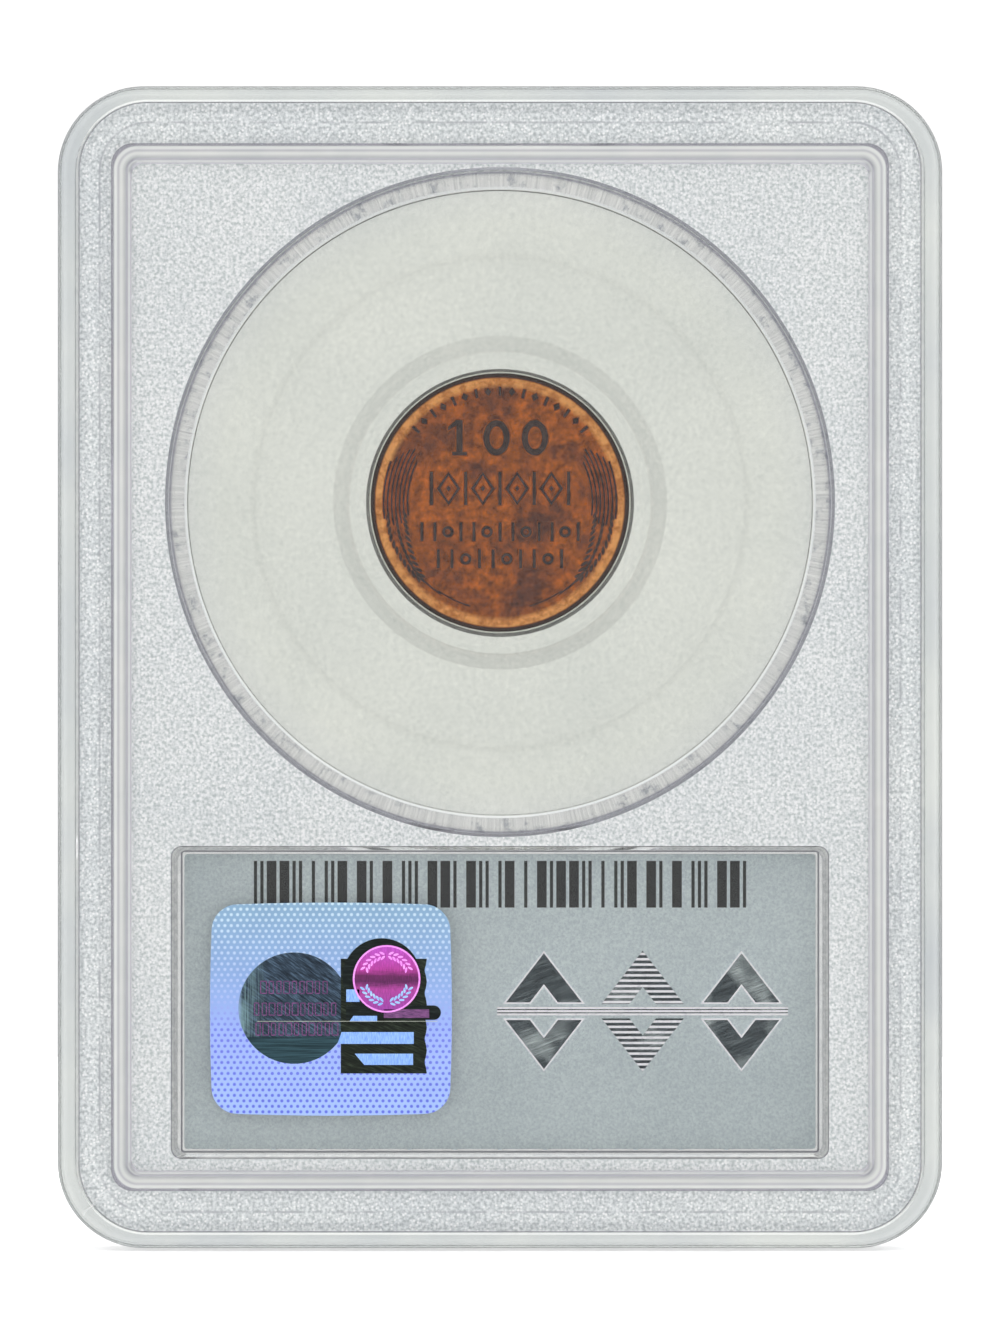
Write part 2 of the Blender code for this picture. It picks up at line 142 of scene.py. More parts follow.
REAR_TOP = rear_low.y
REAR_FACE = REAR_TOP + RIDGE_HEIGHT
REAR_FLOOR = REAR_FACE + PLATE
FRONT_TOP = front_high.y
FRONT_FACE = FRONT_TOP - RIM_HEIGHT
FRONT_FLOOR = FRONT_FACE - PLATE
SEAM = (REAR_FLOOR + FRONT_FLOOR) / 2
REAR_SEAM = SEAM - SEAM_GAP / 2
FRONT_SEAM = SEAM + SEAM_GAP / 2
TONGUE_TIP = rear_high.y
WELL_INNER_RADIUS = (ring_high.x - ring_low.x) / 2 + RING_CLEARANCE
WELL_OUTER_RADIUS = WELL_INNER_RADIUS + WELL_WALL
print(f"seam at y = {SEAM / mm:.2f} mm, well {2 * WELL_INNER_RADIUS / mm:.1f} mm across")

# %% [markdown]
# ## Camera
#
# The slab is seen square on from its rear face. A long lens far away keeps both shells'
# outlines almost on top of each other, as a copy stand with a macro lens does. The slab's
# height is a fixed share of the view's height.

# %% Camera
CAMERA_DISTANCE = 600 * mm
CAMERA_RAISE = 0.05 * mm
SLAB_SHARE = 0.87322
VIEW_HEIGHT = HEIGHT / SLAB_SHARE

camera_data = bpy.data.cameras.new("camera")
camera_data.sensor_fit = "VERTICAL"
camera_data.sensor_height = 36
camera_data.lens = camera_data.sensor_height * (CAMERA_DISTANCE / VIEW_HEIGHT)
camera_data.clip_start = 0.01
camera_data.clip_end = 20
camera = bpy.data.objects.new("camera", camera_data)
camera.location = (0, REAR_FACE - CAMERA_DISTANCE, SLAB_MIDDLE + CAMERA_RAISE)
camera.rotation_euler = (pi / 2, 0, 0)
scene.collection.objects.link(camera)
scene.camera = camera
print(f"lens {camera_data.lens:.0f} mm at {CAMERA_DISTANCE / mm:.0f} mm")

# %% [markdown]
# ## Mesh helpers
#
# A moulded shell is a stack of rounded rectangles. Each outline starts as four corners that
# a vertex bevel rounds, and `grow` extrudes the last outline to the next one. A flat face
# with holes is filled between its outlines. One closed skin made this way refracts
# properly, which a pile of overlapping blocks doesn't.

# %% Outlines
CORNER_STEPS = 24
ROUND_STEPS = 288


def rounded_outline(width, height, radius, y, middle_z):
    """A rectangle across Y whose corners a vertex bevel rounds, as points in order."""
    sketch = bmesh.new()
    corners = [
        sketch.verts.new((x * width / 2, y, middle_z + z * height / 2))
        for x, z in ((-1, -1), (1, -1), (1, 1), (-1, 1))
    ]
    sketch.faces.new(corners)
    bmesh.ops.bevel(
        sketch, geom=corners, affect="VERTICES", offset=radius,
        segments=CORNER_STEPS, profile=0.5, material=-1,
    )
    sketch.faces.ensure_lookup_table()
    points = [vert.co.copy() for vert in sketch.faces[0].verts]
    sketch.free()
    return points


def round_outline(radius, y, middle_z):
    """A circle across Y, as points in order."""
    sketch = bmesh.new()
    place = Matrix.Translation((0, y, middle_z)) @ Matrix.Rotation(pi / 2, 4, "X")
    made = bmesh.ops.create_circle(sketch, radius=radius, segments=ROUND_STEPS, matrix=place)
    points = [vert.co.copy() for vert in made["verts"]]
    sketch.free()
    return points


# %% Growing and filling a skin
def ring_edges(bm, ring):
    return [bm.edges.get(pair) for pair in zip(ring, ring[1:] + ring[:1])]


def start_ring(bm, points):
    ring = [bm.verts.new(point) for point in points]
    for pair in zip(ring, ring[1:] + ring[:1]):
        bm.edges.new(pair)
    return ring


def grow(bm, ring, points, finish):
    """Extrudes a ring of edges to new points. The faces it makes get the given finish."""
    made = bmesh.ops.extrude_edge_only(bm, edges=ring_edges(bm, ring))["geom"]
    fresh = {item for item in made if isinstance(item, bmesh.types.BMVert)}
    for item in made:
        if isinstance(item, bmesh.types.BMFace):
            item.material_index = finish
    grown = []
    for old, point in zip(ring, points):
        new = next(edge.other_vert(old) for edge in old.link_edges if edge.other_vert(old) in fresh)
        new.co = point
        grown.append(new)
    return grown


def close_ring(bm, ring, finish):
    made = bmesh.ops.edgeloop_fill(bm, edges=ring_edges(bm, ring))
    for face in made["faces"]:
        face.material_index = finish


def fill_between(bm, rings, finish):
    """A flat face with holes: the first ring is its outer edge, the others are the holes."""
    edges = [edge for ring in rings for edge in ring_edges(bm, ring)]
    made = bmesh.ops.triangle_fill(bm, edges=edges, normal=(0, 1, 0))
    for item in made["geom"]:
        if isinstance(item, bmesh.types.BMFace):
            item.material_index = finish


def turned(profile, middle):
    """Spins (radius, y) points about the Y axis through middle, closed there or on themselves."""
    bm = bmesh.new()
    points = [bm.verts.new((middle.x + radius, y, middle.z)) for radius, y in profile]
    pairs = list(zip(points, points[1:]))
    if profile[0][0] > 0:
        pairs.append((points[-1], points[0]))
    edges = [bm.edges.new(pair) for pair in pairs]
    bmesh.ops.spin(
        bm, geom=points + edges, cent=(middle.x, 0, middle.z), axis=(0, 1, 0),
        angle=2 * pi, steps=ROUND_STEPS, use_merge=True,
    )
    return bm


def keep(name, bm, finishes, body, stands_for=(), sharp=25):
    """Finishes a bmesh as a piece that rides on a body."""
    bmesh.ops.remove_doubles(bm, verts=bm.verts, dist=SAME_PLACE)
    bmesh.ops.recalc_face_normals(bm, faces=bm.faces)
    open_edges = sum(len(edge.link_faces) != 2 for edge in bm.edges)
    mesh = bpy.data.meshes.new(name)
    bm.to_mesh(mesh)
    bm.free()
    for finish in finishes:
        mesh.materials.append(finish)
    mesh.shade_smooth()
    mesh.set_sharp_from_angle(angle=radians(sharp))
    piece = bpy.data.objects.new(name, mesh)
    scene.collection.objects.link(piece)
    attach(piece, body)
    if stands_for:
        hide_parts(*stands_for)
    print(f"{name}: {len(mesh.polygons)} faces, {open_edges} open edges")
    return piece


# %% [markdown]
# ## Finish helpers
#
# Each finish is a Principled shader. Values that are the same all over sit on the shader's
# own sockets, and only what varies over the surface comes from nodes. The patterns read
# Object coordinates, which are metres here, so a noise scale is one over a size in metres.

# %% Finish helpers
def new_finish(name, **sockets):
    """A Principled material. Keyword names are socket names with _ for the space."""
    made = bpy.data.materials.new(name)
    made.use_nodes = True
    shader = made.node_tree.nodes["Principled BSDF"]
    for socket, value in sockets.items():
        shader.inputs[socket.replace("_", " ")].default_value = value
    return made, made.node_tree, shader


def add_node(tree, kind, **settings):
    made = tree.nodes.new(kind)
    for key, value in settings.items():
        if hasattr(made, key):
            setattr(made, key, value)
        else:
            made.inputs[key.replace("_", " ")].default_value = value
    return made


def object_coordinates(tree):
    return add_node(tree, "ShaderNodeTexCoord").outputs["Object"]


def place_along(tree, axis):
    """The X, Y or Z part of the Object coordinates."""
    parts = add_node(tree, "ShaderNodeSeparateXYZ")
    tree.links.new(object_coordinates(tree), parts.inputs["Vector"])
    return parts.outputs[axis]


def noise(tree, vector, size, detail=2.0, roughness=0.5):
    made = add_node(tree, "ShaderNodeTexNoise", Scale=1 / size, Detail=detail, Roughness=roughness)
    tree.links.new(vector, made.inputs["Vector"])
    return made.outputs["Fac"]


def ramp(tree, factor, stops):
    """A colour ramp from (place, colour) stops."""
    made = add_node(tree, "ShaderNodeValToRGB")
    elements = made.color_ramp.elements
    while len(elements) < len(stops):
        elements.new(0.5)
    for element, (place, colour) in zip(elements, stops):
        element.position = place
        element.color = (*colour, 1.0)
    tree.links.new(factor, made.inputs["Fac"])
    return made.outputs["Color"]


def mix(tree, factor, one, other, blend="MIX"):
    made = add_node(tree, "ShaderNodeMix", data_type="RGBA", blend_type=blend)
    for socket, value in ((made.inputs[0], factor), (made.inputs[6], one), (made.inputs[7], other)):
        if isinstance(value, bpy.types.NodeSocket):
            tree.links.new(value, socket)
        else:
            socket.default_value = value if isinstance(value, float) else (*value, 1.0)
    return made.outputs[2]


def bump(tree, shader, height, strength, distance):
    made = add_node(tree, "ShaderNodeBump", Strength=strength, Distance=distance)
    tree.links.new(height, made.inputs["Height"])
    tree.links.new(made.outputs["Normal"], shader.inputs["Normal"])


PLASTIC_IOR = 1.49

# %% [markdown]
# ## Clear, frosted and tinted plastic
#
# The shells are moulded in one clear plastic, and only the mould's surface differs: polished
# on the windows, the ridge and the rim, and spark-eroded between them, which gives a fine
# frost that glitters. The frost is a rough see-through surface with a milky share and small
# dark and light grains, and its glitter is painted: bright glints set into its colour.


# %% Distance from an axis
def from_middle(tree, middle):
    """How far a point lies from the Y axis through middle, and its place measured from there."""
    moved = add_node(tree, "ShaderNodeVectorMath", operation="SUBTRACT")
    moved.inputs[1].default_value = middle
    tree.links.new(object_coordinates(tree), moved.inputs[0])
    flat = add_node(tree, "ShaderNodeVectorMath", operation="MULTIPLY")
    flat.inputs[1].default_value = (1, 0, 1)
    tree.links.new(moved.outputs[0], flat.inputs[0])
    size = add_node(tree, "ShaderNodeVectorMath", operation="LENGTH")
    tree.links.new(flat.outputs[0], size.inputs[0])
    return size.outputs["Value"], flat.outputs[0]


def spread(tree, value, low, high):
    """Maps low..high to 0..1."""
    made = add_node(tree, "ShaderNodeMapRange")
    made.inputs["From Min"].default_value = low
    made.inputs["From Max"].default_value = high
    tree.links.new(value, made.inputs["Value"])
    return made.outputs["Result"]


def streaks_round(tree, middle, per_turn):
    """Noise that changes round an axis but not away from it, like draw marks in a mould."""
    _, flat = from_middle(tree, middle)
    unit = add_node(tree, "ShaderNodeVectorMath", operation="NORMALIZE")
    tree.links.new(flat, unit.inputs[0])
    made = add_node(tree, "ShaderNodeTexNoise", Scale=per_turn / (2 * pi), Detail=4.0, Roughness=0.7)
    tree.links.new(unit.outputs[0], made.inputs["Vector"])
    return made.outputs["Fac"]


def across_outline(tree, side, end, radius, reach):
    """0 at reach inside an outline of the slab, drawn in by side and end, and 1 at reach outside."""
    half = (WIDTH / 2 - side - radius, 0, HEIGHT / 2 - end - radius)
    point = object_coordinates(tree)
    for operation, operand in (
        ("SUBTRACT", (0, 0, SLAB_MIDDLE)), ("ABSOLUTE", (0, 0, 0)), ("SUBTRACT", half),
        ("MAXIMUM", (0, 0, 0)), ("MULTIPLY", (1, 0, 1)),
    ):
        step = add_node(tree, "ShaderNodeVectorMath", operation=operation)
        step.inputs[1].default_value = operand
        tree.links.new(point, step.inputs[0])
        point = step.outputs[0]
    size = add_node(tree, "ShaderNodeVectorMath", operation="LENGTH")
    tree.links.new(point, size.inputs[0])
    return spread(tree, size.outputs["Value"], radius - reach, radius + reach)


def by_depth(tree, from_y, to_y, stops):
    """Colours by place between two Y values, which paints shade and highlight lines along the foot and
    edge of a slope.
    """
    return ramp(tree, spread(tree, place_along(tree, "Y"), from_y, to_y), stops)


# %% Polished and satin plastic
def polished_plastic():
    made, tree, shader = new_finish(
        "polished_plastic", Roughness=0.03, Transmission_Weight=1.0, IOR=PLASTIC_IOR,
    )
    place = object_coordinates(tree)
    cloud = noise(tree, place, 9 * mm, detail=3.0)
    tint = ramp(tree, cloud, [(0.3, (0.92, 0.935, 0.93)), (0.7, (0.965, 0.975, 0.965))])
    tree.links.new(tint, shader.inputs["Base Color"])
    bump(tree, shader, noise(tree, place, 2.2 * mm), 0.05, 0.05 * mm)
    return made


def satin_plastic():
    """The ridge, worn to a satin by other slabs, with painted dark and bright lines along its slopes:
    painted shade and highlights where the slopes bend the light.
    """
    made, tree, shader = new_finish(
        "satin_plastic", Roughness=0.10, Transmission_Weight=0.60, IOR=PLASTIC_IOR,
    )
    place = object_coordinates(tree)
    cloud = noise(tree, place, 3 * mm, detail=4.0)
    tint = ramp(tree, cloud, [(0.3, (0.93, 0.95, 0.945)), (0.7, (1.0, 1.0, 0.985))])
    across = across_outline(
        tree, RIDGE_SIDE_INSET + RIDGE_WIDTH / 2, RIDGE_END_INSET + RIDGE_WIDTH / 2,
        (RIDGE_OUTER_RADIUS + RIDGE_INNER_RADIUS) / 2, RIDGE_WIDTH / 2,
    )
    # Painted shade and highlight: dark and bright lines across the ridge, multiplied into its colour.
    lines = ramp(tree, across, [
        (0.02, (0.46, 0.45, 0.50)), (0.13, (0.66, 0.66, 0.66)), (0.21, (0.38, 0.37, 0.43)),
        (0.32, (0.68, 0.68, 0.69)), (0.46, (0.97, 0.97, 0.94)), (0.52, (0.97, 0.97, 0.94)),
        (0.63, (0.68, 0.66, 0.71)), (0.73, (1, 1, 0.98)), (0.82, (1, 1, 0.98)),
        (0.89, (0.45, 0.43, 0.50)), (0.98, (0.40, 0.38, 0.45)),
    ])
    tree.links.new(mix(tree, 1.0, tint, lines, "MULTIPLY"), shader.inputs["Base Color"])
    bump(tree, shader, noise(tree, place, 0.9 * mm, detail=3.0), 0.10, 0.05 * mm)
    return made


def rim_plastic(name, lip):
    """The clear outer rim, painted a little greyer than the windows as shade, with a painted dark line
    on its step. A lip adds a painted highlight line to it, which glows.
    """
    made, tree, shader = new_finish(
        name, Roughness=0.06, Transmission_Weight=0.92, IOR=PLASTIC_IOR,
    )
    place = object_coordinates(tree)
    cloud = noise(tree, place, 14 * mm, detail=4.0)
    # Painted shade: a greyer tint than the clear windows.
    tint = ramp(tree, cloud, [(0.35, (0.66, 0.69, 0.71)), (0.65, (0.86, 0.88, 0.84))])
    # Painted shade: dark on the step down from the frost, white beyond it.
    lines = by_depth(tree, REAR_FACE + BAND_STEP, REAR_FACE, [
        (0.0, (1, 1, 1)), (0.15, (1, 1, 1)), (0.35, (0.40, 0.38, 0.47)), (1.0, (0.34, 0.32, 0.42)),
    ])
    surface = mix(tree, 1.0, tint, lines, "MULTIPLY")
    if lip:
        # Painted highlight: a bright line just outside the step, which also glows.
        across = across_outline(
            tree, BAND_SIDE_INSET, BAND_END_INSET, CORNER_RADIUS - BAND_END_INSET, 0.5 * mm
        )
        line = ramp(tree, across, [
            (0.60, (0, 0, 0)), (0.65, (1, 1, 1)), (0.74, (1, 1, 1)), (0.79, (0, 0, 0)),
        ])
        surface = mix(tree, line, surface, (1.0, 1.0, 0.98))
        painted_highlight_glow = mix(tree, 1.0, line, (0.16, 0.16, 0.155), "MULTIPLY")
        tree.links.new(painted_highlight_glow, shader.inputs["Emission Color"])
        shader.inputs["Emission Strength"].default_value = 1.0
    tree.links.new(surface, shader.inputs["Base Color"])
    bump(tree, shader, noise(tree, place, 1.5 * mm, detail=3.0), 0.06, 0.05 * mm)
    return made


def recess_plastic():
    """The label window's sloping frame, with painted shade and highlight lines along its top, its middle
    and its foot.
    """
    made, tree, shader = new_finish(
        "recess_plastic", Roughness=0.10, Transmission_Weight=0.85, IOR=PLASTIC_IOR,
    )
    worn = noise(tree, object_coordinates(tree), 0.5 * mm, detail=3.0)
    tint = ramp(tree, worn, [(0.35, (0.80, 0.81, 0.82)), (0.65, (1.0, 1.0, 0.98))])
    # Painted shade and highlight lines by depth down the slope.
    lines = by_depth(tree, REAR_FACE, REAR_FACE + RECESS_DEPTH, [
        (0.0, (0.30, 0.29, 0.34)), (0.12, (0.45, 0.43, 0.49)), (0.20, (1, 1, 0.98)),
        (0.50, (1, 1, 0.98)), (0.56, (0.72, 0.70, 0.75)), (0.64, (1, 1, 1)),
        (0.90, (0.95, 0.95, 0.95)), (0.97, (0.62, 0.61, 0.65)),
    ])
    tree.links.new(mix(tree, 1.0, tint, lines, "MULTIPLY"), shader.inputs["Base Color"])
    return made


def pocket_plastic():
    """The label's seat, painted grey as shade, so that it shows through the rear shell as a grey border.
    """
    made, tree, shader = new_finish(
        "pocket_plastic", Roughness=0.12, Transmission_Weight=0.85, IOR=PLASTIC_IOR,
    )
    worn = noise(tree, object_coordinates(tree), 0.9 * mm, detail=3.0)
    tint = ramp(tree, worn, [(0.35, (0.58, 0.58, 0.58)), (0.65, (0.74, 0.74, 0.73))])
    tree.links.new(tint, shader.inputs["Base Color"])
    return made


# %% Frosted plastic
def painted_wall_shade_line(tree):
    """A broken painted dark line above the inner faces of the side walls, which stand below the outer
    frost: painted shade for the walls seen through it.
    """
    across = across_outline(tree, SIDE_WALL, END_WALL, CORNER_RADIUS - END_WALL, 0.3 * mm)
    line = ramp(tree, across, [(0.30, (0, 0, 0)), (0.5, (1, 1, 1)), (0.70, (0, 0, 0))])
    broken = noise(tree, object_coordinates(tree), 2.4 * mm, detail=6.0, roughness=0.8)
    kept = ramp(tree, broken, [(0.42, (0, 0, 0)), (0.56, (1, 1, 1))])
    return mix(tree, 1.0, line, kept, "MULTIPLY")


FROST_GRAIN = 0.27 * mm
FROST_GROUND = 0.24 * mm


def frosted_plastic(name, dark, light, milk, lined=False):
    """Spark-eroded frost: painted bright glints between dark and light ground, over milky plastic."""
    made, tree, shader = new_finish(
        name, Roughness=0.38, Transmission_Weight=1 - milk, IOR=PLASTIC_IOR,
    )
    place = object_coordinates(tree)
    # Painted highlight: some Voronoi cells get a white speck in the colour, as glints of the frost.
    grain_cells = add_node(tree, "ShaderNodeTexVoronoi", Scale=1 / FROST_GRAIN, Randomness=1.0)
    tree.links.new(place, grain_cells.inputs["Vector"])
    speck = ramp(tree, grain_cells.outputs["Distance"], [(0.18, (1, 1, 1)), (0.44, (0, 0, 0))])
    chosen = add_node(tree, "ShaderNodeSeparateColor")
    tree.links.new(grain_cells.outputs["Color"], chosen.inputs["Color"])
    lit = ramp(tree, chosen.outputs["Red"], [(0.32, (0, 0, 0)), (0.52, (1, 1, 1))])
    glint = mix(tree, 1.0, speck, lit, "MULTIPLY")
    fine = noise(tree, place, FROST_GROUND)
    cloud = noise(tree, place, 6 * mm, detail=3.0)
    ground = ramp(tree, fine, [(0.34, dark), (0.66, light)])
    wide = ramp(tree, cloud, [(0.3, (0.93, 0.94, 0.95)), (0.7, (1.0, 1.0, 1.0))])
    tinted = mix(tree, 1.0, ground, wide, "MULTIPLY")
    surface = mix(tree, glint, tinted, (1.0, 1.0, 1.0))
    if lined:
        # Painted shade: the dark wall line laid over the frost.
        surface = mix(tree, painted_wall_shade_line(tree), surface, (0.34, 0.35, 0.38))
    tree.links.new(surface, shader.inputs["Base Color"])
    bump(tree, shader, fine, 0.6, 0.04 * mm)
    return made


# %% Streaked, ring and melted plastic
def streaked_plastic():
    """The end of the round wall and the round windows' slopes, torn and streaked by the mould, with
    painted shade that darkens the wall's outer edge.
    """
    made, tree, shader = new_finish(
        "streaked_plastic", Roughness=0.25, Transmission_Weight=0.85, IOR=PLASTIC_IOR,
    )
    radius, _ = from_middle(tree, COIN_MIDDLE)
    outwards = spread(tree, radius, WELL_INNER_RADIUS, WELL_OUTER_RADIUS)
    marks = streaks_round(tree, COIN_MIDDLE, 900)
    # Painted shade: a dark line at the outer edge of the round wall.
    painted_shade_falloff = ramp(tree, outwards, [
        (0.0, (1.0, 1.0, 0.98)), (0.60, (1.0, 1.0, 0.97)), (0.85, (0.92, 0.92, 0.90)),
        (0.97, (0.50, 0.50, 0.55)), (1.0, (0.42, 0.42, 0.48)),
    ])
    torn = noise(tree, object_coordinates(tree), 1.1 * mm, detail=6.0, roughness=0.75)
    uneven = ramp(tree, marks, [(0.35, (0.78, 0.78, 0.79)), (0.62, (1.0, 1.0, 1.0))])
    patches = ramp(tree, torn, [(0.36, (0.60, 0.62, 0.66)), (0.46, (1.0, 1.0, 1.0))])
    marked = mix(tree, 1.0, uneven, patches, "MULTIPLY")
    tree.links.new(mix(tree, 1.0, painted_shade_falloff, marked, "MULTIPLY"), shader.inputs["Base Color"])
    bump(tree, shader, marks, 0.4, 0.1 * mm)
    return made


RING_SHADE_START = 20.4 * mm


def ring_plastic():
    made, tree, shader = new_finish(
        "ring_plastic", Roughness=0.08, Transmission_Weight=0.9, IOR=PLASTIC_IOR,
    )
    place = object_coordinates(tree)
    radius, _ = from_middle(tree, COIN_MIDDLE)
    outwards = spread(tree, radius, RING_SHADE_START, (ring_high.x - ring_low.x) / 2)
    fine = noise(tree, place, 0.35 * mm, detail=3.0, roughness=0.7)
    tint = ramp(tree, fine, [(0.3, (0.84, 0.85, 0.79)), (0.7, (1.0, 1.0, 0.93))])
    # Painted shade: the ring darkens a little towards its outer edge.
    painted_shade_falloff = ramp(tree, outwards, [(0.0, (1, 1, 1)), (0.8, (0.97, 0.97, 0.99)), (1.0, (0.95, 0.95, 0.98))])
    tree.links.new(mix(tree, 1.0, tint, painted_shade_falloff, "MULTIPLY"), shader.inputs["Base Color"])
    bump(tree, shader, noise(tree, place, 1.4 * mm, detail=3.0), 0.04, 0.05 * mm)
    return made


def melted_plastic():
    made, tree, shader = new_finish(
        "melted_plastic", Roughness=0.30, Transmission_Weight=0.8, IOR=PLASTIC_IOR,
    )
    place = object_coordinates(tree)
    beads = noise(tree, place, 0.5 * mm, detail=3.0)
    tint = ramp(tree, beads, [(0.35, (0.70, 0.73, 0.75)), (0.65, (0.92, 0.93, 0.93))])
    tree.links.new(tint, shader.inputs["Base Color"])
    bump(tree, shader, beads, 0.5, 0.1 * mm)
    return made


polished = polished_plastic()
satin = satin_plastic()
rim_clear = rim_plastic("rim_plastic", True)
front_rim_clear = rim_plastic("front_rim_plastic", False)
recess_clear = recess_plastic()
pocket_painted_grey = pocket_plastic()
gap_dark, _, _ = new_finish(
    "gap_shadow", Base_Color=(0.16, 0.16, 0.19, 1), Roughness=0.4, Transmission_Weight=0.5,
    IOR=PLASTIC_IOR,
)
frosted = frosted_plastic("frosted_plastic", (0.50, 0.545, 0.54), (1.0, 1.0, 1.0), 0.58)
# The band outside the ridge is the same frost, painted darker as shade, with the painted wall line on
# it.
shaded_edge_frost = frosted_plastic("frosted_edge_shaded", (0.40, 0.43, 0.44), (0.90, 0.92, 0.92), 0.50, lined=True)
streaked = streaked_plastic()
ring_clear = ring_plastic()
melted = melted_plastic()
SHELL_FINISHES = (
    frosted, polished, satin, shaded_edge_frost, streaked, rim_clear, recess_clear, pocket_painted_grey, gap_dark,
    front_rim_clear,
)
(
    FROSTED, POLISHED, SATIN, SHADED_EDGE_FROST, STREAKED, RIM, RECESS, POCKET, GAP, FRONT_RIM,
) = range(len(SHELL_FINISHES))

# %% [markdown]
# ## The two shells
#
# Each shell is one closed skin. It starts at the foot of the raised moulding, goes over it
# and round the outer edge to the seam, and comes back inside to the floor. The round window,
# the label window, the well wall and the label's seat are holes in the two flat faces, each
# grown to its own depth before the flat face is filled round them.

# %% Outlines of a shell
EDGE_STEPS = 10
WINDOW_SLOPE = 0.22 * mm


def slab_outline(side, end, y, radius=None):
    """The slab's outline, drawn in by side and end, with concentric corners or a given radius."""
    if radius is None:
        radius = CORNER_RADIUS - min(side, end)
    return rounded_outline(WIDTH - 2 * side, HEIGHT - 2 * end, radius, y, SLAB_MIDDLE)


def ridge_outline(inward, y):
    share = inward / RIDGE_WIDTH
    radius = RIDGE_OUTER_RADIUS + share * (RIDGE_INNER_RADIUS - RIDGE_OUTER_RADIUS)
    return slab_outline(RIDGE_SIDE_INSET + inward, RIDGE_END_INSET + inward, y, radius)


def rounded_edge(radius, face, outward):
    """Outlines of the rounded outer edge, from the face to the side wall."""
    outlines = []
    for step in range(EDGE_STEPS + 1):
        angle = step / EDGE_STEPS * pi / 2
        drawn_in = radius * (1 - sin(angle))
        outlines.append(slab_outline(drawn_in, drawn_in, face - outward * radius * (1 - cos(angle))))
    return outlines


def label_outline(margin_x, margin_z, radius, y):
    width = LABEL_WIDTH + 2 * margin_x
    height = LABEL_HEIGHT + 2 * margin_z
    return rounded_outline(width, height, radius, y, LABEL_MIDDLE.z)


# %% Features that both shells share
def round_window(bm, face, inward):
    """The polished window over the coin: a small step down all round. Returns its rim."""
    radius = WELL_OUTER_RADIUS + WINDOW_MARGIN
    rim = start_ring(bm, round_outline(radius, face, COIN_MIDDLE.z))
    deep = face + inward * WINDOW_STEP
    floor = grow(bm, rim, round_outline(radius - WINDOW_SLOPE, deep, COIN_MIDDLE.z), STREAKED)
    close_ring(bm, floor, POLISHED)
    return rim


def label_window(bm, face, depth, slope):
    """The polished window over the label, with its own finish on the slope. Returns its rim."""
    margin_x = (RECESS_WIDTH - LABEL_WIDTH) / 2
    margin_z = (RECESS_HEIGHT - LABEL_HEIGHT) / 2
    rim = start_ring(bm, label_outline(margin_x, margin_z, RECESS_RADIUS, face))
    deep = label_outline(margin_x / 2, margin_z / 2, RECESS_RADIUS, face + depth)
    close_ring(bm, grow(bm, rim, deep, slope), POLISHED)
    return rim


def well_wall(bm, floor, top):
    """The round wall on the inner floor. Returns its foot."""
    foot = start_ring(bm, round_outline(WELL_OUTER_RADIUS, floor, COIN_MIDDLE.z))
    ring = grow(bm, foot, round_outline(WELL_OUTER_RADIUS, top, COIN_MIDDLE.z), POLISHED)
    ring = grow(bm, ring, round_outline(WELL_INNER_RADIUS, top, COIN_MIDDLE.z), STREAKED)
    ring = grow(bm, ring, round_outline(WELL_INNER_RADIUS, floor, COIN_MIDDLE.z), POLISHED)
    close_ring(bm, ring, POLISHED)
    return foot


# %% Rear shell
RIDGE_BEVEL = 0.16 * mm


def rear_shell():
    bm = bmesh.new()
    band = REAR_FACE + BAND_STEP
    tongue_in = TONGUE_INSET + TONGUE_WIDTH
    foot = start_ring(bm, ridge_outline(RIDGE_WIDTH, REAR_FACE))
    inner_top = grow(bm, foot, ridge_outline(RIDGE_WIDTH - RIDGE_SLOPE, REAR_TOP), SATIN)
    outer_top = grow(bm, inner_top, ridge_outline(RIDGE_SLOPE, REAR_TOP), SATIN)
    ring = grow(bm, outer_top, ridge_outline(0, REAR_FACE), SATIN)
    ring = grow(bm, ring, slab_outline(BAND_SIDE_INSET, BAND_END_INSET, REAR_FACE), SHADED_EDGE_FROST)
    side, end = BAND_SIDE_INSET - BAND_SLOPE, BAND_END_INSET - BAND_SLOPE
    ring = grow(bm, ring, slab_outline(side, end, band), RIM)
    for outline in rounded_edge(REAR_ROUNDING, band, -1):
        ring = grow(bm, ring, outline, RIM)
    for inset, y in (
        (0, REAR_SEAM), (TONGUE_INSET, REAR_SEAM), (TONGUE_INSET, TONGUE_TIP),
        (tongue_in, TONGUE_TIP), (tongue_in, REAR_SEAM),
    ):
        ring = grow(bm, ring, slab_outline(inset, inset, y), POLISHED)
    ring = grow(bm, ring, slab_outline(SIDE_WALL, END_WALL, REAR_SEAM), POLISHED)
    inner = grow(bm, ring, slab_outline(SIDE_WALL, END_WALL, REAR_FLOOR), POLISHED)
    recess = label_window(bm, REAR_FACE, RECESS_DEPTH, RECESS)
    fill_between(bm, [foot, round_window(bm, REAR_FACE, 1), recess], FROSTED)
    margin_x = (RECESS_WIDTH - LABEL_WIDTH) / 2 + BOSS_WALL
    margin_z = (RECESS_HEIGHT - LABEL_HEIGHT) / 2 + BOSS_WALL
    boss = start_ring(bm, label_outline(margin_x, margin_z, RECESS_RADIUS, REAR_FLOOR))
    boss_top = label_outline(margin_x, margin_z, RECESS_RADIUS, REAR_FLOOR + RECESS_DEPTH)
    close_ring(bm, grow(bm, boss, boss_top, POLISHED), POLISHED)
    fill_between(bm, [inner, well_wall(bm, REAR_FLOOR, REAR_SEAM), boss], POLISHED)
    bmesh.ops.bevel(
        bm, geom=ring_edges(bm, inner_top) + ring_edges(bm, outer_top), affect="EDGES",
        offset=RIDGE_BEVEL, segments=4, profile=0.5, material=-1,
    )
    return keep("rear_cover", bm, SHELL_FINISHES, "slab", ["rear_shell"])


rear_shell()


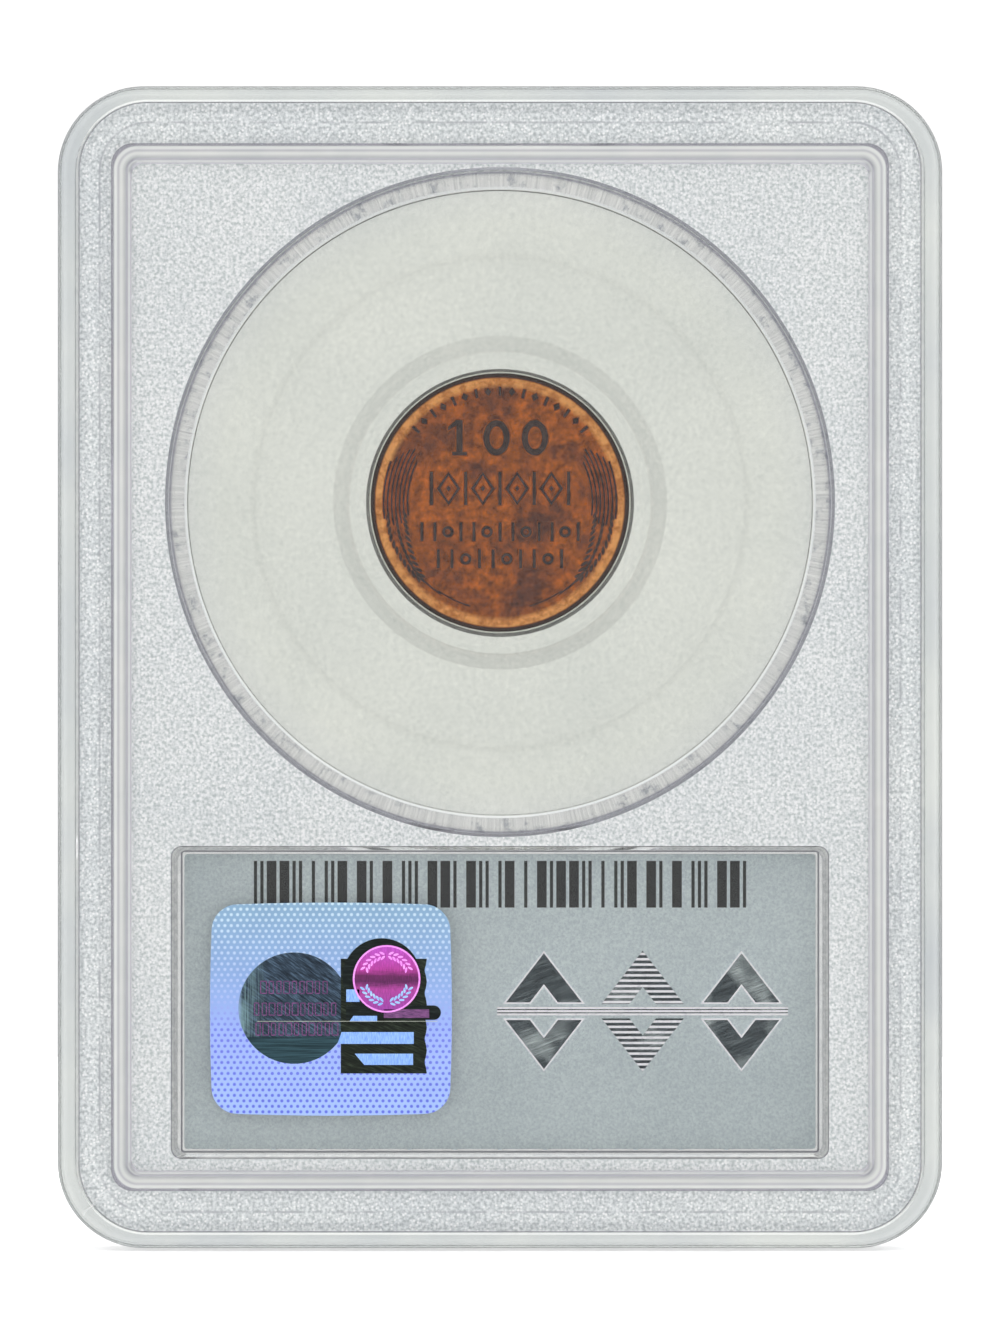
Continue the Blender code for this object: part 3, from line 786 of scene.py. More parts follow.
# %% Front shell
def front_shell():
    bm = bmesh.new()
    rim_side = RIDGE_SIDE_INSET - STACK_CLEARANCE
    rim_end = RIDGE_END_INSET - STACK_CLEARANCE
    groove_out = TONGUE_INSET - GROOVE_CLEARANCE
    groove_in = TONGUE_INSET + TONGUE_WIDTH + GROOVE_CLEARANCE
    groove_end = TONGUE_TIP + BEAD_ROOM
    foot = start_ring(bm, slab_outline(rim_side, rim_end, FRONT_FACE, RIDGE_OUTER_RADIUS))
    top = slab_outline(rim_side - RIM_SLOPE, rim_end - RIM_SLOPE, FRONT_TOP, RIDGE_OUTER_RADIUS)
    ring = grow(bm, foot, top, FRONT_RIM)
    for outline in rounded_edge(FRONT_ROUNDING, FRONT_TOP, 1):
        ring = grow(bm, ring, outline, FRONT_RIM)
    for inset, y in (
        (0, FRONT_SEAM), (groove_out, FRONT_SEAM), (groove_out, groove_end),
        (groove_in, groove_end), (groove_in, FRONT_SEAM),
    ):
        ring = grow(bm, ring, slab_outline(inset, inset, y), POLISHED)
    ring = grow(bm, ring, slab_outline(SIDE_WALL, END_WALL, FRONT_SEAM), POLISHED)
    inner = grow(bm, ring, slab_outline(SIDE_WALL, END_WALL, FRONT_FLOOR), POLISHED)
    recess = label_window(bm, FRONT_FACE, -WINDOW_STEP, POLISHED)
    fill_between(bm, [foot, round_window(bm, FRONT_FACE, -1), recess], FROSTED)
    pocket = label_pocket(bm)
    fill_between(bm, [inner, well_wall(bm, FRONT_FLOOR, FRONT_SEAM), pocket], POLISHED)
    return keep("front_cover", bm, SHELL_FINISHES, "slab", ["front_shell"])


def label_pocket(bm):
    """The label's seat: a lip round the card and a ledge under its edge. Returns its foot."""
    outer = POCKET_CLEARANCE + POCKET_LIP
    ledge = label_high.y + LABEL_CLEARANCE
    foot = start_ring(bm, label_outline(outer, outer, outer, FRONT_FLOOR))
    ring = foot
    shaded = POCKET_CLEARANCE + POCKET_SHADE
    # The seat's faces take the painted grey of POCKET, and the gap round the card the painted shadow of
    # GAP.
    for margin, radius, y, finish in (
        (outer, outer, label_low.y, POCKET),
        (shaded, shaded, label_low.y, POCKET),
        (POCKET_CLEARANCE, POCKET_CLEARANCE, label_low.y, GAP),
        (POCKET_CLEARANCE, POCKET_CLEARANCE, ledge, GAP),
        (-POCKET_LEDGE, POCKET_CLEARANCE, ledge, POCKET),
        (-POCKET_LEDGE, POCKET_CLEARANCE, FRONT_FLOOR, POCKET),
    ):
        ring = grow(bm, ring, label_outline(margin, margin, radius, y), finish)
    close_ring(bm, ring, POLISHED)
    return foot


front_shell()

# %% [markdown]
# ## Wear
#
# A handled slab has short scratches on its corners and a nick in its rim. They are slivers
# half sunk in the rear surface, and they're paler than the plastic round them.


# %% Scuffs
def scuff_finish():
    made, tree, shader = new_finish("scuffed_plastic", Roughness=0.5)
    worn = noise(tree, object_coordinates(tree), 0.3 * mm)
    tint = ramp(tree, worn, [(0.3, (0.62, 0.62, 0.62)), (0.7, (0.95, 0.95, 0.95))])
    tree.links.new(tint, shader.inputs["Base Color"])
    return made


def sliver(bm, x, y, z, length, width, turn):
    """A very thin long grain whose middle lies in the surface at y."""
    place = Matrix.Translation((x, y, z)) @ Matrix.Rotation(turn, 4, "Y")
    size = Matrix.Diagonal((width / 2, 0.008 * mm, length / 2, 1))
    bmesh.ops.create_uvsphere(bm, u_segments=8, v_segments=6, radius=1, matrix=place @ size)


def scuffs():
    bm = bmesh.new()
    left, right = -WIDTH / 2, WIDTH / 2
    for place in range(11):
        x = left + 2.0 * mm + (place * 0.37 % 1.5) * mm
        z = 2.6 * mm + place * 0.40 * mm
        length = (0.5 + place * 0.7 % 1.1) * mm
        sliver(bm, x, REAR_FACE, z, length, 0.05 * mm, radians(35 + place * 23 % 40))
    sliver(bm, left + 1.45 * mm, REAR_FACE + BAND_STEP, 29.2 * mm, 1.8 * mm, 0.16 * mm, 0)
    sliver(bm, right - 2.6 * mm, REAR_FACE, 61.0 * mm, 1.2 * mm, 0.05 * mm, radians(-40))
    return keep("slab_scuffs", bm, (scuff_finish(),), "slab")


scuffs()

# %% [markdown]
# ## Weld bead
#
# The bead lies in the bottom of the groove and already has its shape in the frame, so the
# node stays and only gets the look of plastic that has melted and set again.

# %% Weld bead
bead = frame["nodes"]["weld_bead"]
bead.data.materials.clear()
bead.data.materials.append(melted)
print("weld_bead keeps its packed mesh")

# %% [markdown]
# ## Coin ring
#
# The ring is turned: one half of its section is mirrored across the middle plane and spun
# about the coin's axis. The collar's chamfer catches the light as a pale ring.

# %% Coin ring
COIN_CLEARANCE = 0.08 * mm
FACE_CLEARANCE = 0.05 * mm
LIP_DEPTH = 0.18 * mm
LIP_SHARE = 2 / 7
FLANGE_WIDTH = 5.0 * mm
FLANGE_GAP = 0.65 * mm
WEB_GAP = 0.85 * mm
CHAMFER_START = 0.8 * mm
CONE_START = 1.0 * mm
CONE_WIDTH = 1.5 * mm
RING_EDGE = 0.06 * mm


def coin_ring():
    half_cavity = (FRONT_FLOOR - REAR_FLOOR) / 2
    collar = (ring_high.y - ring_low.y) / 2
    outer = (ring_high.x - ring_low.x) / 2
    flange = outer + RING_CLEARANCE - FLANGE_WIDTH
    bore = COIN_RADIUS + COIN_CLEARANCE
    lip = bore - LIP_DEPTH
    lip_foot = (coin_high.y - coin_low.y) / 2 + FACE_CLEARANCE
    lip_top = lip_foot + LIP_SHARE * (collar - lip_foot)
    chamfer = bore + CHAMFER_START
    cone = bore + CONE_START
    web = cone + CONE_WIDTH
    soft = RING_EDGE
    flange_top = half_cavity - FLANGE_GAP
    web_top = half_cavity - WEB_GAP
    half = [
        (outer, flange_top - soft), (outer - soft, flange_top),
        (flange + 0.35 * mm, flange_top), (flange + 0.18 * mm, flange_top - 0.04 * mm),
        (flange - 0.10 * mm, web_top + 0.04 * mm), (flange - 0.25 * mm, web_top),
        (web + soft, web_top), (web - soft, web_top + soft),
        (cone + soft, collar - soft), (cone - soft, collar),
        (chamfer + soft / 2, collar), (chamfer - soft, collar - soft),
        (lip + soft, lip_top + soft), (lip, lip_top), (lip, lip_foot), (bore, lip_foot),
    ]
    middle = (ring_low.y + ring_high.y) / 2
    profile = [(radius, middle - y) for radius, y in half]
    profile += [(radius, middle + y) for radius, y in reversed(half)]
    bm = turned(profile, COIN_MIDDLE)
    return keep("coin_holder", bm, (ring_clear,), "slab", ["coin_ring"])


coin_ring()

# %% [markdown]
# ## Raised flat shapes
#
# Print, foil and the relief on a coin are all thin shapes on a flat ground. Each is an
# outline that is extruded and then inset, so its border can lie flat, as the edge of hot
# foil with its painted highlight does, or slope like the side of a struck figure.


# %% Raised shapes
def is_vert(item):
    return isinstance(item, bmesh.types.BMVert)


def raise_shape(bm, points, base, foot, top, border=0.0, finish=0, border_finish=0):
    """Extrudes (x, z) points from base to foot, and draws a border in from there to a lid at top."""
    face = bm.faces.new([bm.verts.new((x, base, z)) for x, z in points])
    face.material_index = border_finish
    made = bmesh.ops.extrude_face_region(bm, geom=[face], use_keep_orig=True)["geom"]
    bmesh.ops.translate(bm, verts=list(filter(is_vert, made)), vec=(0, foot - base, 0))
    lid = next(item for item in made if isinstance(item, bmesh.types.BMFace))
    if border:
        bmesh.ops.inset_region(bm, faces=[lid], thickness=border, depth=0, use_even_offset=True)
        bmesh.ops.translate(bm, verts=lid.verts, vec=(0, top - foot, 0))
    lid.material_index = finish


def oval(width, height, x, z, steps):
    """An oval as (x, z) points."""
    sketch = bmesh.new()
    place = Matrix.Translation((x, 0, z)) @ Matrix.Diagonal((width / 2, 1, height / 2, 1))
    made = bmesh.ops.create_circle(
        sketch, radius=1, segments=steps, matrix=place @ Matrix.Rotation(pi / 2, 4, "X")
    )
    points = [(vert.co.x, vert.co.z) for vert in made["verts"]]
    sketch.free()
    return points


def raise_oval_ring(bm, width, height, stroke, x, z, base, foot, top, border=0.0, steps=48):
    """An oval band with the same kind of border as raise_shape. 4 steps make a lozenge."""
    stations = (
        (0, base), (0, foot), (border, top), (stroke - border, top), (stroke, foot),
        (stroke, base), (0, base),
    )
    outlines = [
        [(px, y, pz) for px, pz in oval(width - 2 * inward, height - 2 * inward, x, z, steps)]
        for inward, y in stations
    ]
    ring = start_ring(bm, outlines[0])
    for outline in outlines[1:]:
        ring = grow(bm, ring, outline, 0)


def rectangle(width, height, x=0.0, z=0.0, slant=0.0):
    """A rectangle as (x, z) points. Its left end leans by slant."""
    left, right, low, high = x - width / 2, x + width / 2, z - height / 2, z + height / 2
    return [(left + slant, low), (right, low), (right, high), (left, high)]


def bar(bm, width, height, x, z, y_low, y_high, finish=0):
    place = Matrix.Translation((x, (y_low + y_high) / 2, z))
    size = Matrix.Diagonal((width, y_high - y_low, height, 1))
    made = bmesh.ops.create_cube(bm, size=1, matrix=place @ size)
    for face in {face for vert in made["verts"] for face in vert.link_faces}:
        face.material_index = finish


def grain(bm, x, y, z, length, width, height, turn, steps=8):
    """A pointed grain, half sunk in the ground. It lies along Z until turn leans it about Y."""
    place = Matrix.Translation((x, y, z)) @ Matrix.Rotation(turn, 4, "Y")
    size = Matrix.Diagonal((width / 2, height, length / 2, 1))
    bmesh.ops.create_uvsphere(bm, u_segments=steps, v_segments=6, radius=1, matrix=place @ size)


# %% [markdown]
# ## The coin
#
# The coin is a turned blank with a raised rim and struck relief on both faces. The relief is
# real geometry, since it's what catches the light. Its design is a plain one made for
# this part: a number between two sprays of grain, rows of lozenges and beads, and on the
# other face a rosette. Its flat tops have gone dark with age, and its slopes carry a painted
# bright highlight, partly their own brighter toning.

# %% Coin finishes
RIM_TOP = COIN_RADIUS - 0.42 * mm
RIM_FOOT = COIN_RADIUS - 0.95 * mm


def flatness(tree):
    """1 where a face lies across Y, less where it slopes."""
    source = add_node(tree, "ShaderNodeNewGeometry")
    parts = add_node(tree, "ShaderNodeSeparateXYZ")
    tree.links.new(source.outputs["True Normal"], parts.inputs["Vector"])
    size = add_node(tree, "ShaderNodeMath", operation="ABSOLUTE")
    tree.links.new(parts.outputs["Y"], size.inputs[0])
    return size.outputs[0]


def toned_bronze():
    made, tree, shader = new_finish("toned_bronze", Metallic=0.85, Roughness=0.36)
    place = object_coordinates(tree)
    cloud = noise(tree, place, 3.6 * mm, detail=4.0, roughness=0.6)
    mottle = noise(tree, place, 0.55 * mm, detail=3.0, roughness=0.65)
    ground = ramp(tree, cloud, [
        (0.34, (0.150, 0.045, 0.022)), (0.46, (0.320, 0.080, 0.012)), (0.56, (0.420, 0.105, 0.008)),
        (0.68, (0.200, 0.055, 0.022)),
    ])
    spots = ramp(tree, mottle, [
        (0.30, (0.42, 0.40, 0.45)), (0.50, (1.0, 1.0, 1.0)), (0.68, (1.7, 1.6, 1.2)),
    ])
    field = mix(tree, 1.0, ground, spots, "MULTIPLY")
    # Painted highlight: a bright copper ring over the coin's rim. Painted shade: a dark ring at its very
    # edge.
    radius, _ = from_middle(tree, COIN_MIDDLE)
    rim = spread(tree, radius, COIN_RADIUS - 1.5 * mm, COIN_RADIUS)
    gold = ramp(tree, mottle, [(0.35, (0.60, 0.20, 0.04)), (0.6, (1.0, 0.45, 0.13))])
    share = ramp(tree, rim, [(0.18, (0, 0, 0)), (0.44, (1, 1, 1)), (0.66, (1, 1, 1)), (0.74, (0, 0, 0))])
    lit = mix(tree, share, field, gold)
    edge = ramp(tree, rim, [(0.70, (0, 0, 0)), (0.76, (1, 1, 1))])
    tree.links.new(mix(tree, edge, lit, (0.050, 0.024, 0.018)), shader.inputs["Base Color"])
    bump(tree, shader, noise(tree, place, 0.22 * mm, detail=3.0), 0.5, 0.03 * mm)
    return made


def toned_relief_painted_highlight():
    made, tree, shader = new_finish("toned_relief_painted_highlight", Metallic=0.8, Roughness=0.4)
    place = object_coordinates(tree)
    mottle = noise(tree, place, 0.5 * mm, detail=3.0)
    tops = ramp(tree, mottle, [(0.35, (0.040, 0.022, 0.018)), (0.7, (0.095, 0.055, 0.045))])
    # Painted highlight: sloping faces get bright copper, partly the coin's own brighter toning; flat
    # tops stay toned dark.
    slopes = ramp(tree, mottle, [(0.3, (0.30, 0.085, 0.012)), (0.6, (0.75, 0.23, 0.04))])
    flat = ramp(tree, flatness(tree), [(0.90, (0, 0, 0)), (0.97, (1, 1, 1))])
    tree.links.new(mix(tree, flat, slopes, tops), shader.inputs["Base Color"])
    bump(tree, shader, mottle, 0.4, 0.03 * mm)
    return made


bronze = toned_bronze()
relief = toned_relief_painted_highlight()

# %% Coin blank
COIN_HALF = (coin_high.y - coin_low.y) / 2
FIELD = COIN_HALF - 0.10 * mm


def coin_blank():
    half = [
        (0, FIELD), (RIM_FOOT, FIELD), (RIM_FOOT + 0.22 * mm, FIELD + 0.02 * mm),
        (RIM_TOP - 0.12 * mm, COIN_HALF - 0.02 * mm), (RIM_TOP, COIN_HALF),
        (COIN_RADIUS - 0.18 * mm, COIN_HALF), (COIN_RADIUS - 0.06 * mm, COIN_HALF - 0.05 * mm),
        (COIN_RADIUS, COIN_HALF - 0.18 * mm),
    ]
    profile = [(radius, COIN_MIDDLE.y - y) for radius, y in half]
    profile += [(radius, COIN_MIDDLE.y + y) for radius, y in reversed(half)]
    bm = turned(profile, COIN_MIDDLE)
    return keep("coin_blank", bm, (bronze,), "coin", ["coin"], sharp=40)


coin_blank()

# %% [markdown]
# ## Relief on the rear of the coin
#
# All of it stands on the rear field, a tenth of a millimetre below the rim. Figures on a
# struck coin have steep, slightly sloping sides, so each shape has a border that slopes
# from the field up to its top.

# %% Relief sizes
REAR_FIELD = COIN_MIDDLE.y - FIELD
RELIEF = 0.085 * mm
SINK = 0.02 * mm
FIGURE_STROKE = 0.62 * mm
FIGURE_SLOPE = 0.08 * mm


def struck(shape, bm, *sizes, height=RELIEF, slope=FIGURE_SLOPE, side=-1, **more):
    """Calls raise_shape or raise_oval_ring at the coin's field. side -1 is its rear face."""
    field = COIN_MIDDLE.y + side * FIELD
    shape(bm, *sizes, field - side * SINK, field, field + side * height, slope, **more)


def on_coin(points):
    return [(COIN_MIDDLE.x + x, COIN_MIDDLE.z + z) for x, z in points]


# %% The number
def coin_number():
    """One nought nought, drawn as a pillar with a flag and two ovals."""
    bm = bmesh.new()
    height, middle = 2.74 * mm, 4.73 * mm
    low, high = middle - height / 2, middle + height / 2
    foot, flag, half = 0.62 * mm, 0.62 * mm, FIGURE_STROKE / 2
    x = -2.95 * mm
    pillar = [
        (x - foot, low), (x + foot, low), (x + foot, low + 0.42 * mm), (x + half, low + 0.42 * mm),
        (x + half, high), (x - half, high), (x - half - flag, high - 0.55 * mm),
        (x - half - flag, high - 1.0 * mm), (x - half, high - 0.62 * mm),
        (x - half, low + 0.42 * mm), (x - foot, low + 0.42 * mm),
    ]
    struck(raise_shape, bm, on_coin(pillar))
    for x in (-0.25 * mm, 2.55 * mm):
        struck(
            raise_oval_ring, bm, 2.10 * mm, height, FIGURE_STROKE, COIN_MIDDLE.x + x,
            COIN_MIDDLE.z + middle,
        )
    return keep("coin_number", bm, (relief,), "coin")


coin_number()


# %% Row of lozenges
def coin_lozenge_row():
    """Four hollow lozenges, each with a small one inside it, and upright bars between them."""
    bm = bmesh.new()
    z, pitch, height = 1.03 * mm, 2.5 * mm, 2.6 * mm
    for place in range(4):
        x = (place - 1.5) * pitch
        struck(
            raise_oval_ring, bm, 1.9 * mm, height, 0.42 * mm, COIN_MIDDLE.x + x,
            COIN_MIDDLE.z + z, steps=4,
        )
        core = ((0, -0.36), (0.27, 0), (0, 0.36), (-0.27, 0))
        struck(raise_shape, bm, on_coin([(x + across * mm, z + up * mm) for across, up in core]))
    for place in range(5):
        struck(raise_shape, bm, on_coin(rectangle(0.40 * mm, height, (place - 2) * pitch, z)))
    return keep("coin_lozenge_row", bm, (relief,), "coin")


coin_lozenge_row()


# %% Bead rows and the arc of lozenges
def coin_bead_rows():
    """Two rows of upright bars with a ring bead after every second bar."""
    bm = bmesh.new()
    height, bead, stroke = 1.5 * mm, 0.95 * mm, 0.33 * mm
    low_relief = {"height": 0.06 * mm, "slope": 0.05 * mm}
    for middle, half_width, count in ((-2.13 * mm, 5.7 * mm, 13), (-4.10 * mm, 4.5 * mm, 10)):
        pitch = 2 * half_width / (count - 1)
        for place in range(count):
            x = COIN_MIDDLE.x - half_width + place * pitch
            z = COIN_MIDDLE.z + middle
            if place % 3 == 2:
                struck(raise_oval_ring, bm, bead, bead, stroke, x, z, **low_relief)
            else:
                struck(raise_shape, bm, rectangle(stroke, height, x, z), **low_relief)
    return keep("coin_bead_rows", bm, (relief,), "coin")


def coin_arc():
    """Small lozenges and bars in turn, along the top of the field."""
    bm = bmesh.new()
    radius, count, half_angle, size = 8.12 * mm, 17, 49, 0.76 * mm
    for place in range(count):
        angle = radians(-half_angle + 2 * half_angle * place / (count - 1))
        turn = Matrix.Rotation(-angle, 2)
        if place % 2:
            points = [(0, -size / 2), (size / 2.4, 0), (0, size / 2), (-size / 2.4, 0)]
        else:
            points = rectangle(0.30 * mm, size)
        placed = [turn @ Vector(point) + radius * Vector((sin(angle), cos(angle))) for point in points]
        struck(raise_shape, bm, on_coin(placed), height=0.07 * mm, slope=0.04 * mm)
    return keep("coin_arc", bm, (relief,), "coin")


coin_bead_rows()
coin_arc()

# %% [markdown]
# ## Sprays of grain
#
# A spray stands at each side of the field: long leaves above, three rows of grains that
# narrow below them, and a thin stem that curves towards the bottom. A leaf is a flat-topped
# ridge spun part of the way round the coin's axis, and each grain is a squashed sphere.


# %% Sprays
def arc_ridge(bm, radius, start, end, width, height, side):
    """A ridge on the rear field from angle start to end, measured from the top towards side."""
    first = radians(start) * side
    across = Vector((sin(first), 0, cos(first)))
    corners = [
        Vector((COIN_MIDDLE.x, REAR_FIELD + y, COIN_MIDDLE.z)) + across * (radius + r)
        for r, y in ((-width / 2, SINK), (-width / 4, -height), (width / 4, -height), (width / 2, SINK))
    ]
    verts = [bm.verts.new(corner) for corner in corners]
    edges = [bm.edges.new(pair) for pair in zip(verts, verts[1:] + verts[:1])]
    bmesh.ops.spin(
        bm, geom=verts + edges, cent=COIN_MIDDLE, axis=(0, 1, 0),
        angle=radians(end - start) * side, steps=max(4, int((end - start) / 3)),
    )


def coin_spray(side):
    bm = bmesh.new()
    for place in range(7):
        radius = 6.75 * mm + place * 0.29 * mm
        start = 57 + 3.2 * abs(place - 2.2)
        arc_ridge(bm, radius, start, 104 - 2 * abs(place - 3), 0.27 * mm, 0.07 * mm, side)
    arc_ridge(bm, 7.95 * mm, 132, 147, 0.24 * mm, 0.06 * mm, side)
    arc_ridge(bm, 7.85 * mm, 145, 164, 0.20 * mm, 0.05 * mm, side)
    bmesh.ops.holes_fill(bm, edges=bm.edges, sides=4)
    for step in range(11):
        along = 97 + step * 3.6
        narrow = 1 - 0.72 * max(0, step - 3) / 7
        for column in (-1, 0, 1):
            angle = radians(along + 1.8 * (column == 0)) * side
            radius = 7.62 * mm + column * 0.62 * mm * narrow + 0.035 * mm * step
            lean = angle + pi / 2 - side * column * 0.35
            grain(
                bm, COIN_MIDDLE.x + radius * sin(angle), REAR_FIELD, COIN_MIDDLE.z + radius * cos(angle),
                0.72 * mm, 0.34 * mm, 0.075 * mm, lean,
            )
    name = "coin_spray_left" if side < 0 else "coin_spray_right"
    return keep(name, bm, (relief,), "coin")


coin_spray(-1)
coin_spray(1)


# %% Rosette on the front of the coin
def coin_rosette():
    """Two rounds of petals about a ring, inside a circle of beads."""
    bm = bmesh.new()
    front_field = COIN_MIDDLE.y + FIELD
    petals, beads, bead_circle = 12, 60, 7.75 * mm
    rounds = ((2.9 * mm, 2.6 * mm, 1.15 * mm, 0), (5.4 * mm, 2.3 * mm, 0.9 * mm, 0.5))
    for place in range(petals):
        for radius, length, width, shift in rounds:
            angle = (place + shift) * 2 * pi / petals
            grain(
                bm, COIN_MIDDLE.x + radius * sin(angle), front_field,
                COIN_MIDDLE.z + radius * cos(angle), length, width, 0.085 * mm, angle, steps=12,
            )
    for place in range(beads):
        angle = place * 2 * pi / beads
        grain(
            bm, COIN_MIDDLE.x + bead_circle * sin(angle), front_field,
            COIN_MIDDLE.z + bead_circle * cos(angle), 0.5 * mm, 0.5 * mm, 0.07 * mm, 0,
        )
    struck(raise_oval_ring, bm, 2.6 * mm, 2.6 * mm, 0.5 * mm, COIN_MIDDLE.x, COIN_MIDDLE.z, side=1)
    return keep("coin_rosette", bm, (relief,), "coin")


coin_rosette()

# %% [markdown]
# ## The label
#
# The label is a grey card, torn from a strip along a line of tiny bridges that leave nibs on
# its lower edge. On the rear it carries a bar code in black ink. The code follows the
# interleaved two-of-five rule: each pair of digits makes five bars and the five gaps
# between them, and two of every five are wide. Its digits are made up by a formula.


# %% Card finishes
def printed_card():
    # Painted light: a faint emission makes the card glow a little brighter, though it is no lamp.
    made, tree, shader = new_finish(
        "printed_card", Roughness=0.6, Emission_Color=(0.88, 0.98, 1.0, 1), Emission_Strength=0.07,
    )
    place = object_coordinates(tree)
    fibre = noise(tree, place, 0.18 * mm, detail=3.0, roughness=0.7)
    cloud = noise(tree, place, 8 * mm)
    ground = ramp(tree, fibre, [(0.35, (0.64, 0.72, 0.765)), (0.65, (0.90, 0.99, 1.0))])
    wide = ramp(tree, cloud, [(0.3, (0.96, 0.96, 0.96)), (0.7, (1, 1, 1))])
    tree.links.new(mix(tree, 1.0, ground, wide, "MULTIPLY"), shader.inputs["Base Color"])
    bump(tree, shader, fibre, 0.25, 0.02 * mm)
    return made


def black_ink():
    made, tree, shader = new_finish("black_ink", Roughness=0.5)
    place = object_coordinates(tree)
    wear = noise(tree, place, 0.12 * mm, detail=2.0)
    tint = ramp(tree, wear, [(0.35, (0.006, 0.006, 0.007)), (0.75, (0.030, 0.031, 0.033))])
    tree.links.new(tint, shader.inputs["Base Color"])
    return made


card = printed_card()
ink = black_ink()

# %% Card
NIB_PITCH = 3.3 * mm
NIB_HEIGHT = 0.07 * mm
NIB_WIDTH = 0.28 * mm
NIB_INSET = 0.08 * mm
CARD_CORNER = 0.25 * mm
CARD_EDGE = 0.04 * mm


def label_card():
    bm = bmesh.new()
    size = Matrix.Diagonal((LABEL_WIDTH, label_high.y - label_low.y, LABEL_HEIGHT, 1))
    bmesh.ops.create_cube(bm, size=1, matrix=Matrix.Translation(LABEL_MIDDLE) @ size)
    upright = [edge for edge in bm.edges if abs(edge.verts[0].co.y - edge.verts[1].co.y) > 0.1 * mm]
    bmesh.ops.bevel(
        bm, geom=upright, affect="EDGES", offset=CARD_CORNER, segments=6, profile=0.5, material=-1,
    )
    rims = [edge for edge in bm.edges if abs(edge.verts[0].co.y - edge.verts[1].co.y) < 0.01 * mm]
    bmesh.ops.bevel(
        bm, geom=rims, affect="EDGES", offset=CARD_EDGE, segments=2, profile=0.5, material=-1,
    )
    count = int(LABEL_WIDTH / NIB_PITCH)
    for place in range(count):
        x = LABEL_MIDDLE.x + (place - (count - 1) / 2) * NIB_PITCH
        bar(
            bm, NIB_WIDTH, 2 * NIB_HEIGHT, x, label_low.z,
            label_low.y + NIB_INSET, label_high.y - NIB_INSET,
        )
    return keep("label_card", bm, (card,), "slab", ["grading_label"])


label_card()

# %% Bar code
NARROW = 0.2345 * mm
CODE_HEIGHT = 3.4 * mm
CODE_FROM_TOP = 0.5 * mm
INK_THICKNESS = 0.012 * mm
INK_SINK = 0.01 * mm
WIDE_PLACES = ("34", "04", "14", "01", "24", "02", "12", "23", "03", "13")


def digit_widths(digit):
    return [3 if str(place) in WIDE_PLACES[digit] else 1 for place in range(5)]


def code_widths(digits):
    """Bar and gap widths in turn, starting and ending with a bar."""
    widths = [1, 1, 1, 1]
    for bars, gaps in zip(digits[::2], digits[1::2]):
        for pair in zip(digit_widths(bars), digit_widths(gaps)):
            widths += pair
    return widths + [3, 1, 1]


def bar_code(name, digits, x, z, height, narrow, side):
    """Bars of ink on one face of the card, centred on x. side -1 is its rear face."""
    bm = bmesh.new()
    widths = code_widths(digits)
    face = label_low.y if side < 0 else label_high.y
    y_low, y_high = sorted((face - side * INK_SINK, face + side * INK_THICKNESS))
    left = x - sum(widths) * narrow / 2
    for place, width in enumerate(widths):
        if place % 2 == 0:
            middle = left + width * narrow / 2
            bar(bm, width * narrow, height, middle, z, y_low, y_high)
        left += width * narrow
    return keep(name, bm, (ink,), "slab")


code_digits = [(7 * place + 3) % 10 for place in range(16)]
bar_code(
    "label_bar_code", code_digits, LABEL_MIDDLE.x, label_high.z - CODE_FROM_TOP - CODE_HEIGHT / 2,
    CODE_HEIGHT, NARROW, -1,
)

# %% [markdown]
# ## The printed front of the label
#
# The slab stands with its label at the bottom, so the front print hangs upside down here. Real
# words have no place on a stock part: rows of short bars stand for them.


# %% Front print
FRONT_PRINT_START = 20.0 * mm


def front_print():
    """Rows of short bars. Each row is its place below the middle, its height and its word count."""
    bm = bmesh.new()
    y_low, y_high = label_high.y - INK_SINK, label_high.y + INK_THICKNESS
    rows = ((6.6, 1.9, 3), (3.2, 1.5, 5), (0.4, 1.1, 7), (-2.2, 1.1, 6))
    for row, (z, height, words) in enumerate(rows):
        x = FRONT_PRINT_START
        for word in range(words):
            length = (2.4 + (3 * word + 5 * row) % 4) * mm
            bar(bm, length, height * mm, x - length / 2, LABEL_MIDDLE.z - z * mm, y_low, y_high)
            x -= length + 0.9 * mm
    return keep("label_front_print", bm, (ink,), "slab")


front_print()
bar_code(
    "label_front_code", code_digits[4:12], LABEL_MIDDLE.x + 10 * mm, LABEL_MIDDLE.z + 6.6 * mm,
    2.6 * mm, 0.2 * mm, 1,
)

# %% [markdown]
# ## Silver foil
#
# Hot-stamped foil is a mirror as thin as breath. Flat areas are painted dark, a painted
# reflection of the dark room, and show the fine brush marks of the die, while their pressed-in
# edges carry a painted bright highlight line all round. The middle lozenge is hatched with
# fine lines of that painted highlight, and a triple rule runs across all three.


# %% Foil finishes
def brushed(tree, place, length, width, turn=0.0):
    """Noise drawn out along X by length over width, then turned about Y."""
    mapping = add_node(tree, "ShaderNodeMapping")
    mapping.inputs["Rotation"].default_value = (0, turn, 0)
    tree.links.new(place, mapping.inputs["Vector"])
    stretched = add_node(tree, "ShaderNodeMapping")
    stretched.inputs["Scale"].default_value = (1 / length, 1 / width, 1 / width)
    tree.links.new(mapping.outputs["Vector"], stretched.inputs["Vector"])
    made = add_node(tree, "ShaderNodeTexNoise", Scale=1.0, Detail=3.0, Roughness=0.65)
    tree.links.new(stretched.outputs["Vector"], made.inputs["Vector"])
    return made.outputs["Fac"]


